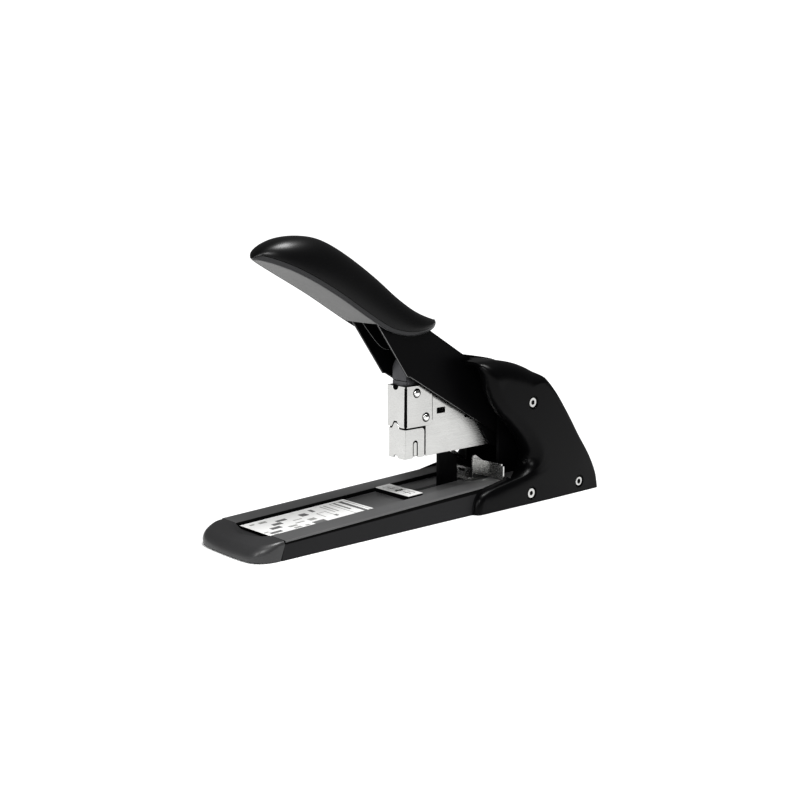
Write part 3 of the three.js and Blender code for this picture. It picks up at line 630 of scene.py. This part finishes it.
def make_arm_details():
    """Grey beads along the edges of the arm's two plates and of the stiffener, painting the
    highlights those edges catch, and the stiffener plate inside the arm.
    """
    parts = []
    for x in (-ARM_EDGE_X, ARM_EDGE_X):
        parts.append(edge_wire(ARM_FRONT_EDGE, x, ARM_BEAD))
        parts.append(edge_wire(ARM_LOWER_EDGE, x, ARM_BEAD))
    parts.append(edge_wire(STIFFENER_EDGE, STIFFENER_X, STIFFENER_BEAD))
    points, faces = joined_lofts(parts)
    piece("arm_edge_highlight_beads", points, faces, "lever", EDGE_HIGHLIGHT_GREY)
    outline = STIFFENER_EDGE + [(128.5, 103.0), (128.5, 114.0), (116.0, 124.0), (107.0, 126.0)]
    points, faces = closed_loft(side_plate(outline, *STIFFENER_SIDES))
    piece("arm_stiffener", points, faces, "lever", SATIN_BLACK)


# ------------------------------------------------------------------ rear housing
HOUSING_HALF = 36.0
SHELL_WALL = 2.0
FLOOR_GAP = 0.4
SPINE_HALF = 7.0
SPINE_START = 184
BACK_LINE = smooth_curve([
    [168.8, 93.2], [178, 93.5], [187, 93.1], [203, 89.6], [219, 82.5], [231, 72], [243, 56.5],
    [255, 39], [266, 24], [273.2, 11], [275.9, FLOOR_GAP]], 120)
FRONT_LINE = smooth_curve([
    [169.4, 90.4], [171.6, 84], [173.5, 77], [178, 68.5], [185, 60], [193, 52.8], [200.5, 45.5],
    [207, 38], [210.6, 30.5], [208, 23.5], [198, 18.9], [184, 16.2], [171, 13.8],
    [164.6, 10.8], [161.8, 6], [161, FLOOR_GAP]], 150)
# Shares of the way along the front line and the back line that one row of the shell joins.
ROW_LINKS = profile([
    [0, 0], [0.10, 0.13], [0.22, 0.30], [0.35, 0.46], [0.50, 0.62], [0.57, 0.72], [0.66, 0.82],
    [0.78, 0.89], [0.88, 0.94], [0.94, 0.97], [1.0, 1.0]])
# The rounding of the mouth's edge, and how far in its flange reaches, by share of the front line.
FRONT_ROUND = profile([
    [0, 5.0], [0.2, 6.5], [0.4, 8.5], [0.55, 9.0], [0.66, 6.0], [0.72, 4.3], [1, 4.3]])
FLANGE_INNER = profile([
    [0, 24.0], [0.2, 23.0], [0.45, 20], [0.6, 20.5], [0.67, 28], [0.72, 31.5], [1, 31.5]])
FLANGE_STEPS = 6
CORNER_STEPS = 10
MIDDLE_STEPS = 6
ROOF_STEPS = 5
# A rounded corner takes a little more of the row than its own radius.
CORNER_REACH = 1.15
ROW_FILL = 0.94
# The slot in the roof that the arm comes out of: half its width, and where it closes.
ROOF_SLOT_HALF = 13.4
ROOF_SLOT_END = (176.5, 179.5)


def back_round(y):
    """The roof's shoulders are wide and turn into tight corners down the back."""
    return mix(12.0, mix(5.0, 2.6, ease(222, 274, y)), ease(216, 223, y))


def along(line, share):
    """The point a share of the way along a line of evenly counted points."""
    place = share * (len(line) - 1)
    k = min(int(place), len(line) - 2)
    t = place - k
    return (mix(line[k][0], line[k + 1][0], t), mix(line[k][1], line[k + 1][1], t))


def side_crown(y, z):
    """The side is very slightly domed."""
    return 0.9 * min(((y - 225) / 60) ** 2 + ((z - 38) / 55) ** 2, 1.0)


def shell_side(y, z, front_radius, back_radius):
    """Half-width of the shell at a point of its side view."""
    return (HOUSING_HALF - side_crown(y, z)
            - roll(distance_to(FRONT_LINE, y, z), front_radius)
            - roll(distance_to(BACK_LINE, y, z), back_radius))


def corner_steps(radius):
    """Distances from an edge, closer together near it, over one rounded corner."""
    return [radius * (1 - math.cos(math.pi / 2 * i / CORNER_STEPS)) * CORNER_REACH
            for i in range(CORNER_STEPS + 1)]


def shell_row(share):
    """One cross-section, from the inner end of the front flange to the spine."""
    front = along(FRONT_LINE, share)
    back = along(BACK_LINE, ROW_LINKS(share))
    radius = FRONT_ROUND(share)
    rear_radius = back_round(back[0])
    length = math.dist(front, back)
    inner = FLANGE_INNER(share)
    edge_x = shell_side(*front, radius, rear_radius)
    curl = min(0.35 * (edge_x - inner), 2.5)
    row = []
    for i in range(FLANGE_STEPS):
        t = i / FLANGE_STEPS
        lean = curl * (1 - t) ** 2
        row.append((mix(inner, edge_x, t),
                    front[0] + lean * (back[0] - front[0]) / length,
                    front[1] + lean * (back[1] - front[1]) / length))
    first = corner_steps(radius)
    last = [length - s for s in reversed(corner_steps(rear_radius))]
    squeeze = min(1.0, ROW_FILL * length / (first[-1] + length - last[0]))
    first = [s * squeeze for s in first]
    last = [length - (length - s) * squeeze for s in last]
    middle = [mix(first[-1], last[0], i / MIDDLE_STEPS) for i in range(1, MIDDLE_STEPS)]
    for s in first + middle + last:
        y = mix(front[0], back[0], s / length)
        z = mix(front[1], back[1], s / length)
        row.append((shell_side(y, z, radius, rear_radius), y, z))
    end = mix(ROOF_SLOT_HALF, SPINE_HALF + 0.4, ease(*ROOF_SLOT_END, back[0]))
    edge = row[-1][0]
    for i in range(1, ROOF_STEPS + 1):
        row.append((mix(edge, end, i / ROOF_STEPS), back[0], back[1]))
    return row


def bored(obj, holes):
    """Cuts round holes across the width through a piece."""
    for y, z, radius, x0, x1 in holes:
        turns = [t * math.pi / (ROUND_COUNT // 2) for t in range(ROUND_COUNT)]
        points, faces = closed_loft([
            [(x, y + radius * math.cos(turn), z + radius * math.sin(turn)) for turn in turns]
            for x in (x0, x1)])
        mesh = bpy.data.meshes.new("cutter")
        mesh.from_pydata([at(*p) for p in points], [], faces)
        cutter = bpy.data.objects.new("cutter", mesh)
        bpy.context.scene.collection.objects.link(cutter)
        modifier(obj, "BOOLEAN", operation="DIFFERENCE", object=cutter, solver="EXACT")
        apply_modifiers(obj)
        bpy.data.objects.remove(cutter)


SCREWS = {"axle": (209, 65.4), "front": (209, 6.8), "rear": (255.3, 7.4)}
RECESS_RADIUS = 4.2
RECESS_FIT = 0.15
RECESS_REACH = (30, 40)
SEAT_BORE = 2.3
SEAT_FLOOR = 31.8
SOCKET_RADIUS = 1.75
ROUND_COUNT = 48
SHELL_ROWS = 96


def make_shell(side, name):
    """One glossy half of the housing, with its screw recesses cut."""
    rows = [shell_row(i / SHELL_ROWS) for i in range(SHELL_ROWS + 1)]
    points = [(side * x, y, z) for row in rows for x, y, z in row]
    faces = grid_faces(len(rows), len(rows[0]), flip=side > 0)
    obj = piece(f"housing_cover_{name}", points, faces, "base", GLOSS_BLACK,
                [f"housing_shell_{name}"])
    modifier(obj, "SOLIDIFY", thickness=SHELL_WALL * MM, offset=-1)
    apply_modifiers(obj)
    ends = sorted(side * x for x in RECESS_REACH)
    bored(obj, [(y, z, RECESS_RADIUS + RECESS_FIT, *ends) for y, z in SCREWS.values()])
    shade_smooth(obj.data, SHELL_SHARP)


def turned_points(shape, y, z, side, count):
    """Circles of points about an axis along X; shape is [radius, x] from one end to the other."""
    points = []
    for radius, x in shape:
        for j in range(count):
            turn = 2 * math.pi * j / count
            points.append((side * x, y + radius * math.cos(turn), z + radius * math.sin(turn)))
    return points


def lathe_across(name, shape, y, z, side, body, material, count=ROUND_COUNT, replaces=()):
    """A turned piece about an axis along X, with flat ends."""
    points = turned_points(shape, y, z, side, count)
    faces = grid_faces(len(shape), count, wrap_columns=True, flip=side < 0)
    first = tuple(range(count))
    last = tuple((len(shape) - 1) * count + j for j in range(count))
    faces.append(first if side < 0 else first[::-1])
    faces.append(last[::-1] if side < 0 else last)
    piece(name, points, faces, body, material, replaces)


def make_screw_seat(label, side, name):
    """The turned recess that a housing screw sits in."""
    y, z = SCREWS[label]
    face = HOUSING_HALF - side_crown(y, z)
    shape = [(SEAT_BORE, SEAT_FLOOR), (RECESS_RADIUS, SEAT_FLOOR), (RECESS_RADIUS, face - 0.1),
             (RECESS_RADIUS - 0.1, face), (RECESS_RADIUS - 0.3, face - 0.1),
             (RECESS_RADIUS - 0.45, face - 0.5), (RECESS_RADIUS - 0.6, 33.0), (SEAT_BORE, 32.9)]
    points = turned_points(shape, y, z, side, ROUND_COUNT)
    faces = grid_faces(len(shape), ROUND_COUNT, wrap_rows=True, wrap_columns=True, flip=side < 0)
    piece(f"screw_seat_{label}_{name}", points, faces, "base", GLOSS_BLACK)


def make_screw_socket_shade(label, side, name):
    """The painted shade at the bottom of a screw's hexagon socket, as a black hexagon."""
    y, z = SCREWS[label]
    seat = HOUSING_HALF - 2.85
    shape = [(SOCKET_RADIUS, seat + 1.1), (SOCKET_RADIUS, seat + 1.9)]
    lathe_across(f"screw_socket_{label}_{name}", shape, y, z, side, "base",
                 SHADE_BLACK, count=6)


def make_spine():
    """The proud strip over the roof and down the back."""
    start = next(i for i, p in enumerate(BACK_LINE) if p[0] > SPINE_START)
    line = BACK_LINE[start:]
    half = [(SPINE_HALF, -2.2), (SPINE_HALF, 0.2), (6.7, 0.55), (6.2, 0.75), (3, 0.8)]
    section = [(-x, lift) for x, lift in half] + half[::-1]
    rings = []
    for i, (y, z) in enumerate(line):
        out_y, out_z = across_path(line, i)
        rings.append([(x, min(y + lift * out_y, LENGTH), max(z + lift * out_z, FLOOR_GAP))
                      for x, lift in section])
    points, faces = closed_loft(rings)
    piece("housing_spine_strip", points, faces, "base", GLOSS_BLACK,
          ["housing_spine"])


# ------------------------------------------------------------------ base
BASE_HALF = 31.0
SEAM_Y = 19.5
SEAM_TOP = 11.0
SEAM_LEAN = 2.7
BASE_SLOPE = 0.037
RECESS = 2.3
NOSE_GAP = 0.25
NOSE_ROWS = 34
FOOT_SHARE = 0.992
SCOOP_HALF = 17.5
SCOOP_LONG = 9.5
LABEL_LIFT = 0.45
MARK_THICK = 0.04
NOSE_TOP = profile([[0, 6.2], [3, 7.9], [7, 9.2], [11, 10.1], [15, 10.7], [19.5, 11]])


def base_top(y):
    """The height of the sloping tray's rails."""
    return SEAM_TOP + BASE_SLOPE * (y - SEAM_Y)


def nose_front(x):
    """Where the nose's plan outline starts at a given x."""
    share = min(abs(x) / BASE_HALF, 1.0)
    return 1.8 * share ** 2 + 13.5 * (1 - math.sqrt(max(1 - share ** 7, 0.0)))


def make_nose():
    """The moulded nose cap: rounded plan, falling top, rolled edge and a shallow scoop."""
    across = [BASE_HALF * math.sin(math.pi / 2 * i / 40) for i in range(-40, 41)]
    outline = [(nose_front(x), x) for x in across]
    outline = [(SEAM_Y + 9, -BASE_HALF)] + outline + [(SEAM_Y + 9, BASE_HALF)]
    rows = []
    for i in range(NOSE_ROWS + 1):
        t = 1 - math.cos(math.pi / 2 * i / NOSE_ROWS)
        row = []
        for x in across:
            y = mix(nose_front(x), SEAM_Y - NOSE_GAP, t)
            rim = mix(2.2, 4.8, ease(2, 12, SEAM_Y - y))
            drop = roll(distance_to(outline, y, x), rim)
            scoop = max(1 - (x / SCOOP_HALF) ** 2 - ((y - SEAM_Y - 0.6) / SCOOP_LONG) ** 2, 0.0)
            z = NOSE_TOP(y) - drop - RECESS * ease(0, 0.75, scoop)
            row.append((x, y, z))
        rows.append(row)
    count = len(across)
    foot = [(x * FOOT_SHARE, y + NOSE_GAP, FLOOR_GAP) for x, y, _ in rows[0]]
    skirt = [(x, y, FLOOR_GAP + 0.9) for x, y, _ in rows[0]]
    rear_foot = [(x * FOOT_SHARE, SEAM_Y - SEAM_LEAN - NOSE_GAP, FLOOR_GAP) for x, _, _ in rows[-1]]
    rings = [foot, skirt] + rows + [rear_foot]
    points = [p for ring in rings for p in ring]
    faces = grid_faces(len(rings), count, wrap_rows=True)
    left = tuple(i * count for i in range(len(rings)))
    right = tuple(i * count + count - 1 for i in range(len(rings)))
    faces += [left[::-1], right]
    piece("nose_moulding", points, faces, "base", NOSE_GREY, ["nose_cap"])


def print_mark(name, outline, material):
    """A printed mark on the label, as a very thin raised patch."""
    points, faces = closed_loft([
        [(x, y, base_top(y) - RECESS + LABEL_LIFT + z) for x, y in outline]
        for z in (0.0, MARK_THICK)])
    piece(name, points, faces, "base", material)


# Plain bars and blocks on the label, as [left, right, front, rear] from the nose joint.
DARK_MARKS = [
    (-13, 13, 70.5, 73.0), (-13, 4, 66.2, 67.6), (-9, -4, 37.5, 42.5), (8.6, 13.4, 34.5, 43),
    (-12, -7, 47, 49.4), (6, 9, 52.5, 54.5), (8, 11, 5.5, 13.5), (1, 4.6, 10.5, 17.5),
    (-4.5, -1, 15.5, 22), (-8.5, -5.5, 21, 28)]
PALE_MARKS = [
    (-13, 13, 75.0, 75.6), (-13, 13, 63.6, 64.2), (-13, -12.4, 63.6, 75.6),
    (12.4, 13, 63.6, 75.6), (-13, 2, 59, 60), (-13, 2, 56.4, 57.2), (-3, 6, 46.5, 47.2),
    (-3, 6, 52.8, 53.4), (-3, -2.4, 46.5, 53.4), (2, 6, 36, 41), (-12.5, -9.5, 12, 17),
    (-12.5, -10.5, 6, 9), (5.5, 8, 20, 26), (9.5, 12, 21, 26), (3, 4.5, 27, 33),
    (-2, -0.8, 29, 35), (10, 12, 28.5, 31.5), (12, 13.6, 6, 9), (5.5, 7, 3.5, 6.5)]


def make_label_print():
    """Plain bars and blocks where an instruction label has its pictures."""
    for kind, marks, material in (("mark", DARK_MARKS, PRINT_GREY),
                                  ("line", PALE_MARKS, PRINT_PALE)):
        for i, (x0, x1, y0, y1) in enumerate(marks):
            outline = box_outline(x0, x1, SEAM_Y + y0, SEAM_Y + y1)
            print_mark(f"label_{kind}_{i + 1}", outline, material)


# The anvil, and its height over the tray's rails.
ANVIL_HALF = 15.5
ANVIL_FRONT = SEAM_Y + 102.5
ANVIL_REAR = SEAM_Y + 113.8
ANVIL_TOP = 0.7
ANVIL_FRAME = 2.0
ANVIL_SIDE = 4
CLINCH_GAP = 0.7
CLINCH_LONG = 2.4
CLINCH_PADS = ((-10.8, -7.4), (-6.6, -1.2), (1.2, 6.6), (7.4, 10.8))
ANVIL_EDGE = 0.12
# Where the black strips that paint shade in the tray start and end, and the top of the groove's
# strip.
STRIP_START = SEAM_Y + 0.6
WALL_STRIP_END = 197.0
GROOVE_END = 168
GROOVE_TOP = -1.15


def tray_block(x0, x1, y0, y1, low, high):
    """Rings of a block whose bottom and top follow the sloping tray."""
    return [[(x, y, base_top(y) + z) for x, y in box_outline(x0, x1, y0, y1)] for z in (low, high)]


def make_anvil():
    """A dark block with a bright face: a raised frame round clinch pads with grooves."""
    rings = tray_block(-ANVIL_HALF, ANVIL_HALF, ANVIL_FRONT, ANVIL_REAR, 0.15 - RECESS,
                       ANVIL_TOP - 0.55)
    points, faces = closed_loft(rings)
    with_bevel(piece("anvil_block", points, faces, "base", SATIN_BLACK,
                     ["anvil_plate"]))
    low = ANVIL_TOP - 0.5
    front, rear = ANVIL_FRONT + ANVIL_FRAME, ANVIL_REAR - ANVIL_FRAME
    bars = [(-ANVIL_HALF, ANVIL_HALF, ANVIL_FRONT, front),
            (-ANVIL_HALF, ANVIL_HALF, rear, ANVIL_REAR),
            (-ANVIL_HALF, -ANVIL_HALF + ANVIL_SIDE, front, rear),
            (ANVIL_HALF - ANVIL_SIDE, ANVIL_HALF, front, rear)]
    parts = [tray_block(*bar, low, ANVIL_TOP) for bar in bars]
    pad_front, pad_rear = front + CLINCH_GAP, rear - CLINCH_GAP
    for pad in CLINCH_PADS:
        for y0, y1 in ((pad_front, pad_front + CLINCH_LONG), (pad_rear - CLINCH_LONG, pad_rear)):
            parts.append(tray_block(*pad, y0, y1, low, ANVIL_TOP - 0.1))
    points, faces = joined_lofts(parts)
    with_bevel(piece("anvil_face", points, faces, "base", ANVIL_BRIGHT), ANVIL_EDGE)


def wall_strip(side):
    """Rings of a black strip that paints the shade down the inner wall of one rail."""
    wall = [(17.15, -0.25), (16.95, -0.25), (16.2, 0.12 - RECESS), (16.45, 0.12 - RECESS)]
    wall = wall if side > 0 else wall[::-1]
    return [[(side * x, y, base_top(y) + z) for x, z in wall]
            for y in (STRIP_START, WALL_STRIP_END)]


def edge_groove(side):
    """Rings of a black strip on the skirt that paints the shadow in the groove under the outer edge
    of one rail.
    """
    x0, x1 = sorted((side * 30.4, side * 31.05))
    outline = box_outline(x0, x1, STRIP_START, GROOVE_END)
    upper = [(x, y, base_top(y) + GROOVE_TOP) for x, y in outline]
    lower = [(x, y, z - 1.0 - 0.008 * (y - SEAM_Y)) for x, y, z in upper]
    return [lower, upper]


def nose_joint(side):
    """Rings of a black bar that paints the shade in the joint between the nose and one rail."""
    x0, x1 = sorted((side * 17.7, side * 30.5))
    return tray_block(x0, x1, SEAM_Y - 0.2, SEAM_Y + 0.25, -3.0, -0.15)


def make_tray_painted_shade():
    """The black strips that paint shade along the tray's rails and in the joints at the nose."""
    strips = [wall_strip(side) for side in (-1, 1)]
    for side in (-1, 1):
        strips += [edge_groove(side), nose_joint(side)]
    points, faces = joined_lofts(strips)
    piece("tray_painted_shade_strips", points, faces, "base", SHADE_BLACK)


# ------------------------------------------------------------------ magazine
CAP_FRONT = 125.7
CAP_HALF = 8.4
CAP_TOP = 80.6
CAP_REAR = 147.5
CAP_SHEET = 0.8
SEAM_Z = 54.6
LOWER_FRONT = 125.9
LOWER_HALF = 7.3
LOWER_REAR = 142.1
LOWER_BOTTOM = 35.9
CHANNEL_FRONT = 143.1
FINGER_X = -1.0
FINGER_RISE = 3.7
PLATE_GAP = 0.45
CAP_CORNER_X = 7.1
# Across the width, the place of the black strips that paint the shade in the gaps round the lower
# cap's side plates.
SHADE_STRIP_X = (6.55, 7.0)
RIVET_PLACES = [(134.8, 76.0), (142.3, 60.4)]
RIVET_RADIUS = 2.5
RIVET_TALL = 1.5
RIVET_RING = 2.95


def finger_seam(lift, half):
    """The wavy joint between the two front plates, from right to left: a round finger with
    hollow shoulders, standing on a level line."""
    line = []
    for i in range(41):
        x = half - 2 * half * i / 40
        rise = FINGER_RISE * (1 - ease(0.9, 3.9, abs(x - FINGER_X)))
        line.append((x, SEAM_Z + lift + rise))
    return line


def make_upper_cap():
    """The bright cap over the driver: a front plate and two side plates."""
    notch = round_corner((FINGER_X, CAP_TOP), 2.6, 180, 360)
    front = [(-CAP_HALF, CAP_TOP)] + notch + [(CAP_CORNER_X, CAP_TOP)]
    front += [(x, z) for x, z in finger_seam(PLATE_GAP, CAP_HALF) if x < CAP_CORNER_X]
    parts = [front_plate(front[::-1], CAP_FRONT, CAP_FRONT + CAP_SHEET)]
    low = SEAM_Z + 0.5
    start = 127.1
    side = [(start, low)] + round_corner((CAP_REAR - 3, low + 3), 3, 270, 360)
    side += [(CAP_REAR, CAP_TOP - 1.2), (138, CAP_TOP), (start, CAP_TOP)]
    for x0 in (-CAP_HALF, CAP_HALF - CAP_SHEET):
        parts.append(side_plate(side, x0, x0 + CAP_SHEET))
    points, faces = joined_lofts(parts)
    obj = piece("cap_upper_plates", points, faces, "magazine", NICKEL, ["upper_cap"])
    with_bevel(obj)


def make_lower_cap():
    """The bright front of the staple drawer, with a spring tongue in each side."""
    exit_notch = round_corner((FINGER_X, LOWER_BOTTOM), 1.8, 180, 0)
    front = finger_seam(-PLATE_GAP, LOWER_HALF) + [(-LOWER_HALF, LOWER_BOTTOM)] + exit_notch
    front += [(LOWER_HALF, LOWER_BOTTOM)]
    parts = [front_plate(front[::-1], LOWER_FRONT, LOWER_FRONT + CAP_SHEET)]
    high = SEAM_Z - 0.6
    start = LOWER_FRONT + CAP_SHEET + 0.02
    tongue = [(133.4, LOWER_BOTTOM + 1.2), (136.0, LOWER_BOTTOM + 1.2)]
    tongue += round_corner((134.7, 44.4), 1.3, 0, 180)
    slot = [(136.7, LOWER_BOTTOM)] + round_corner((134.7, 44.6), 2, 0, 180)
    slot += [(132.7, LOWER_BOTTOM)]
    side = [(start, high), (start, LOWER_BOTTOM)] + slot[::-1] + [(LOWER_REAR, LOWER_BOTTOM)]
    side += round_corner((LOWER_REAR - 2.4, high - 2.4), 2.4, 0, 90)
    for x0 in (-LOWER_HALF, LOWER_HALF - CAP_SHEET):
        parts.append(side_plate(side, x0, x0 + CAP_SHEET))
        parts.append(side_plate(tongue, x0 + 0.15, x0 + CAP_SHEET - 0.15))
    points, faces = joined_lofts(parts)
    obj = piece("cap_lower_plates", points, faces, "magazine", NICKEL, ["lower_cap"])
    with_bevel(obj)


def make_cap_gap_shade():
    """Black bars that paint the shade seen through the joints, corner gaps and slots between the
    plates, and along the side plates' rear edges.
    """
    def bar(x0, x1, y0, y1, z0, z1):
        return front_plate([(x0, z0), (x1, z0), (x1, z1), (x0, z1)], y0, y1)
    parts = [bar(-6.4, 6.4, 127.35, 127.7, 37.0, 79.0),
             bar(-7.4, 7.4, 126.6, 127.2, CAP_TOP - 2.2, CAP_TOP - 0.4),
             bar(-7.2, 7.2, 126.75, 127.05, SEAM_Z - 0.5, SEAM_Z + 6)]
    for side in (-1, 1):
        def across(a, b):
            return tuple(sorted((side * a, side * b)))
        parts.append(bar(*across(7.15, 7.95), 126.3, 127.05, SEAM_Z + 1, CAP_TOP - 1.5))
        parts.append(bar(*across(7.35, 8.1), CAP_REAR + 0.02, CAP_REAR + 0.5, SEAM_Z + 3.5, 77.5))
        parts.append(bar(*across(*SHADE_STRIP_X), 127.4, LOWER_REAR + 0.4, SEAM_Z - 0.7, SEAM_Z + 0.6))
        parts.append(bar(*across(*SHADE_STRIP_X), LOWER_REAR - 0.2, CHANNEL_FRONT - 0.05,
                         LOWER_BOTTOM + 0.8, SEAM_Z - 0.7))
        parts.append(bar(*across(6.0, 6.4), 132.2, 137.2, LOWER_BOTTOM + 0.8, 47.2))
    points, faces = joined_lofts(parts)
    piece("cap_gap_painted_shade", points, faces, "magazine", SHADE_BLACK)


def rivet_dome():
    """[radius, x] of a rivet's head, from its foot to its crown."""
    turns = [math.pi / 2 * i / 10 for i in range(10)]
    dome = [(RIVET_RADIUS * math.cos(turn), CAP_HALF + 0.25 + RIVET_TALL * math.sin(turn))
            for turn in turns]
    return [(RIVET_RADIUS, CAP_HALF + 0.1)] + dome + [(0.02, CAP_HALF + 1.75)]


def make_rivets():
    """Domed, polished rivet heads on the cap, each with a dark ring round its foot."""
    low, high = CAP_HALF + 0.02, CAP_HALF + 0.08
    ring = [(RIVET_RING, low), (RIVET_RING, high), (0.5, high), (0.5, low)]
    places = [(y, z, side) for y, z in RIVET_PLACES for side in (1, -1)]
    for number, (y, z, side) in enumerate(places, start=1):
        lathe_across(f"cap_rivet_shadow_ring_{number}", ring, y, z, side, "magazine",
                     SHADE_BLACK)
        lathe_across(f"cap_rivet_head_{number}", rivet_dome(), y, z, side, "magazine",
                     POLISHED, replaces=[f"cap_rivet_{number}"])


# ------------------------------------------------------------------ CAD nodes that stay
# Each node's material and the width of its rounded edges.
KEPT = {
    # The tray's grey is painted sheen over black paint.
    "base_skirt": (BASE_GREY, 0.3), "base_tray": (RAIL_PAINTED_SHEEN_GREY, 0.35),
    "instruction_label": (LABEL_WHITE, 0.0),
    "depth_stop": (SATIN_BLACK, 0.3), "paper_back_stop": (NICKEL, 0.25),
    "frame_bracket": (SATIN_BLACK, 0.4), "lever_axle": (ZINC, 0.3), "magazine_axle": (ZINC, 0.3),
    "front_cross_rod": (ZINC, 0.3), "rear_cross_rod": (ZINC, 0.3),
    "lever_return_spring": (DARK_STEEL, 0.0), "lever_arm": (SATIN_BLACK, 0.3),
    "lever_presser": (DARK_STEEL, 0.4), "driver_ram": (DARK_STEEL, 0.3),
    "driver_blade": (DARK_STEEL, 0.1),
    "magazine_channel": (NICKEL, 0.18),
    "staple_rail": (ZINC, 0.15), "staple_strip": (NICKEL, 0.1), "staple_pusher": (DARK_STEEL, 0.3),
    "pusher_spring": (DARK_STEEL, 0.0), "magazine_carrier": (SATIN_BLACK, 0.3),
}


def finish_kept_nodes():
    """Materials and edges for every CAD node that no Blender piece replaces."""
    for name, (material, edge) in KEPT.items():
        finish_node(name, material, edge)
    for label in SCREWS:
        for side in ("right", "left"):
            finish_node(f"{label}_screw_{side}", NICKEL, 0.35, 3)
    for i in range(1, 5):
        finish_node(f"rubber_foot_{i}", RUBBER, 0.6, 3)
    for i in (1, 2):
        finish_node(f"grip_pin_{i}", ZINC, 0.3)


# ------------------------------------------------------------------ everything
make_camera()
make_floor()
make_world()
make_lights()
set_view()
finish_kept_nodes()
make_grip_top()
make_grip_rim()
make_grip_insert()
for side, name in ((1, "right"), (-1, "left")):
    make_shell(side, name)
    for label in SCREWS:
        make_screw_seat(label, side, name)
        make_screw_socket_shade(label, side, name)
make_spine()
make_nose()
make_upper_cap()
make_lower_cap()
make_cap_gap_shade()
make_rivets()
make_label_print()
make_anvil()
make_tray_painted_shade()
make_arm_details()
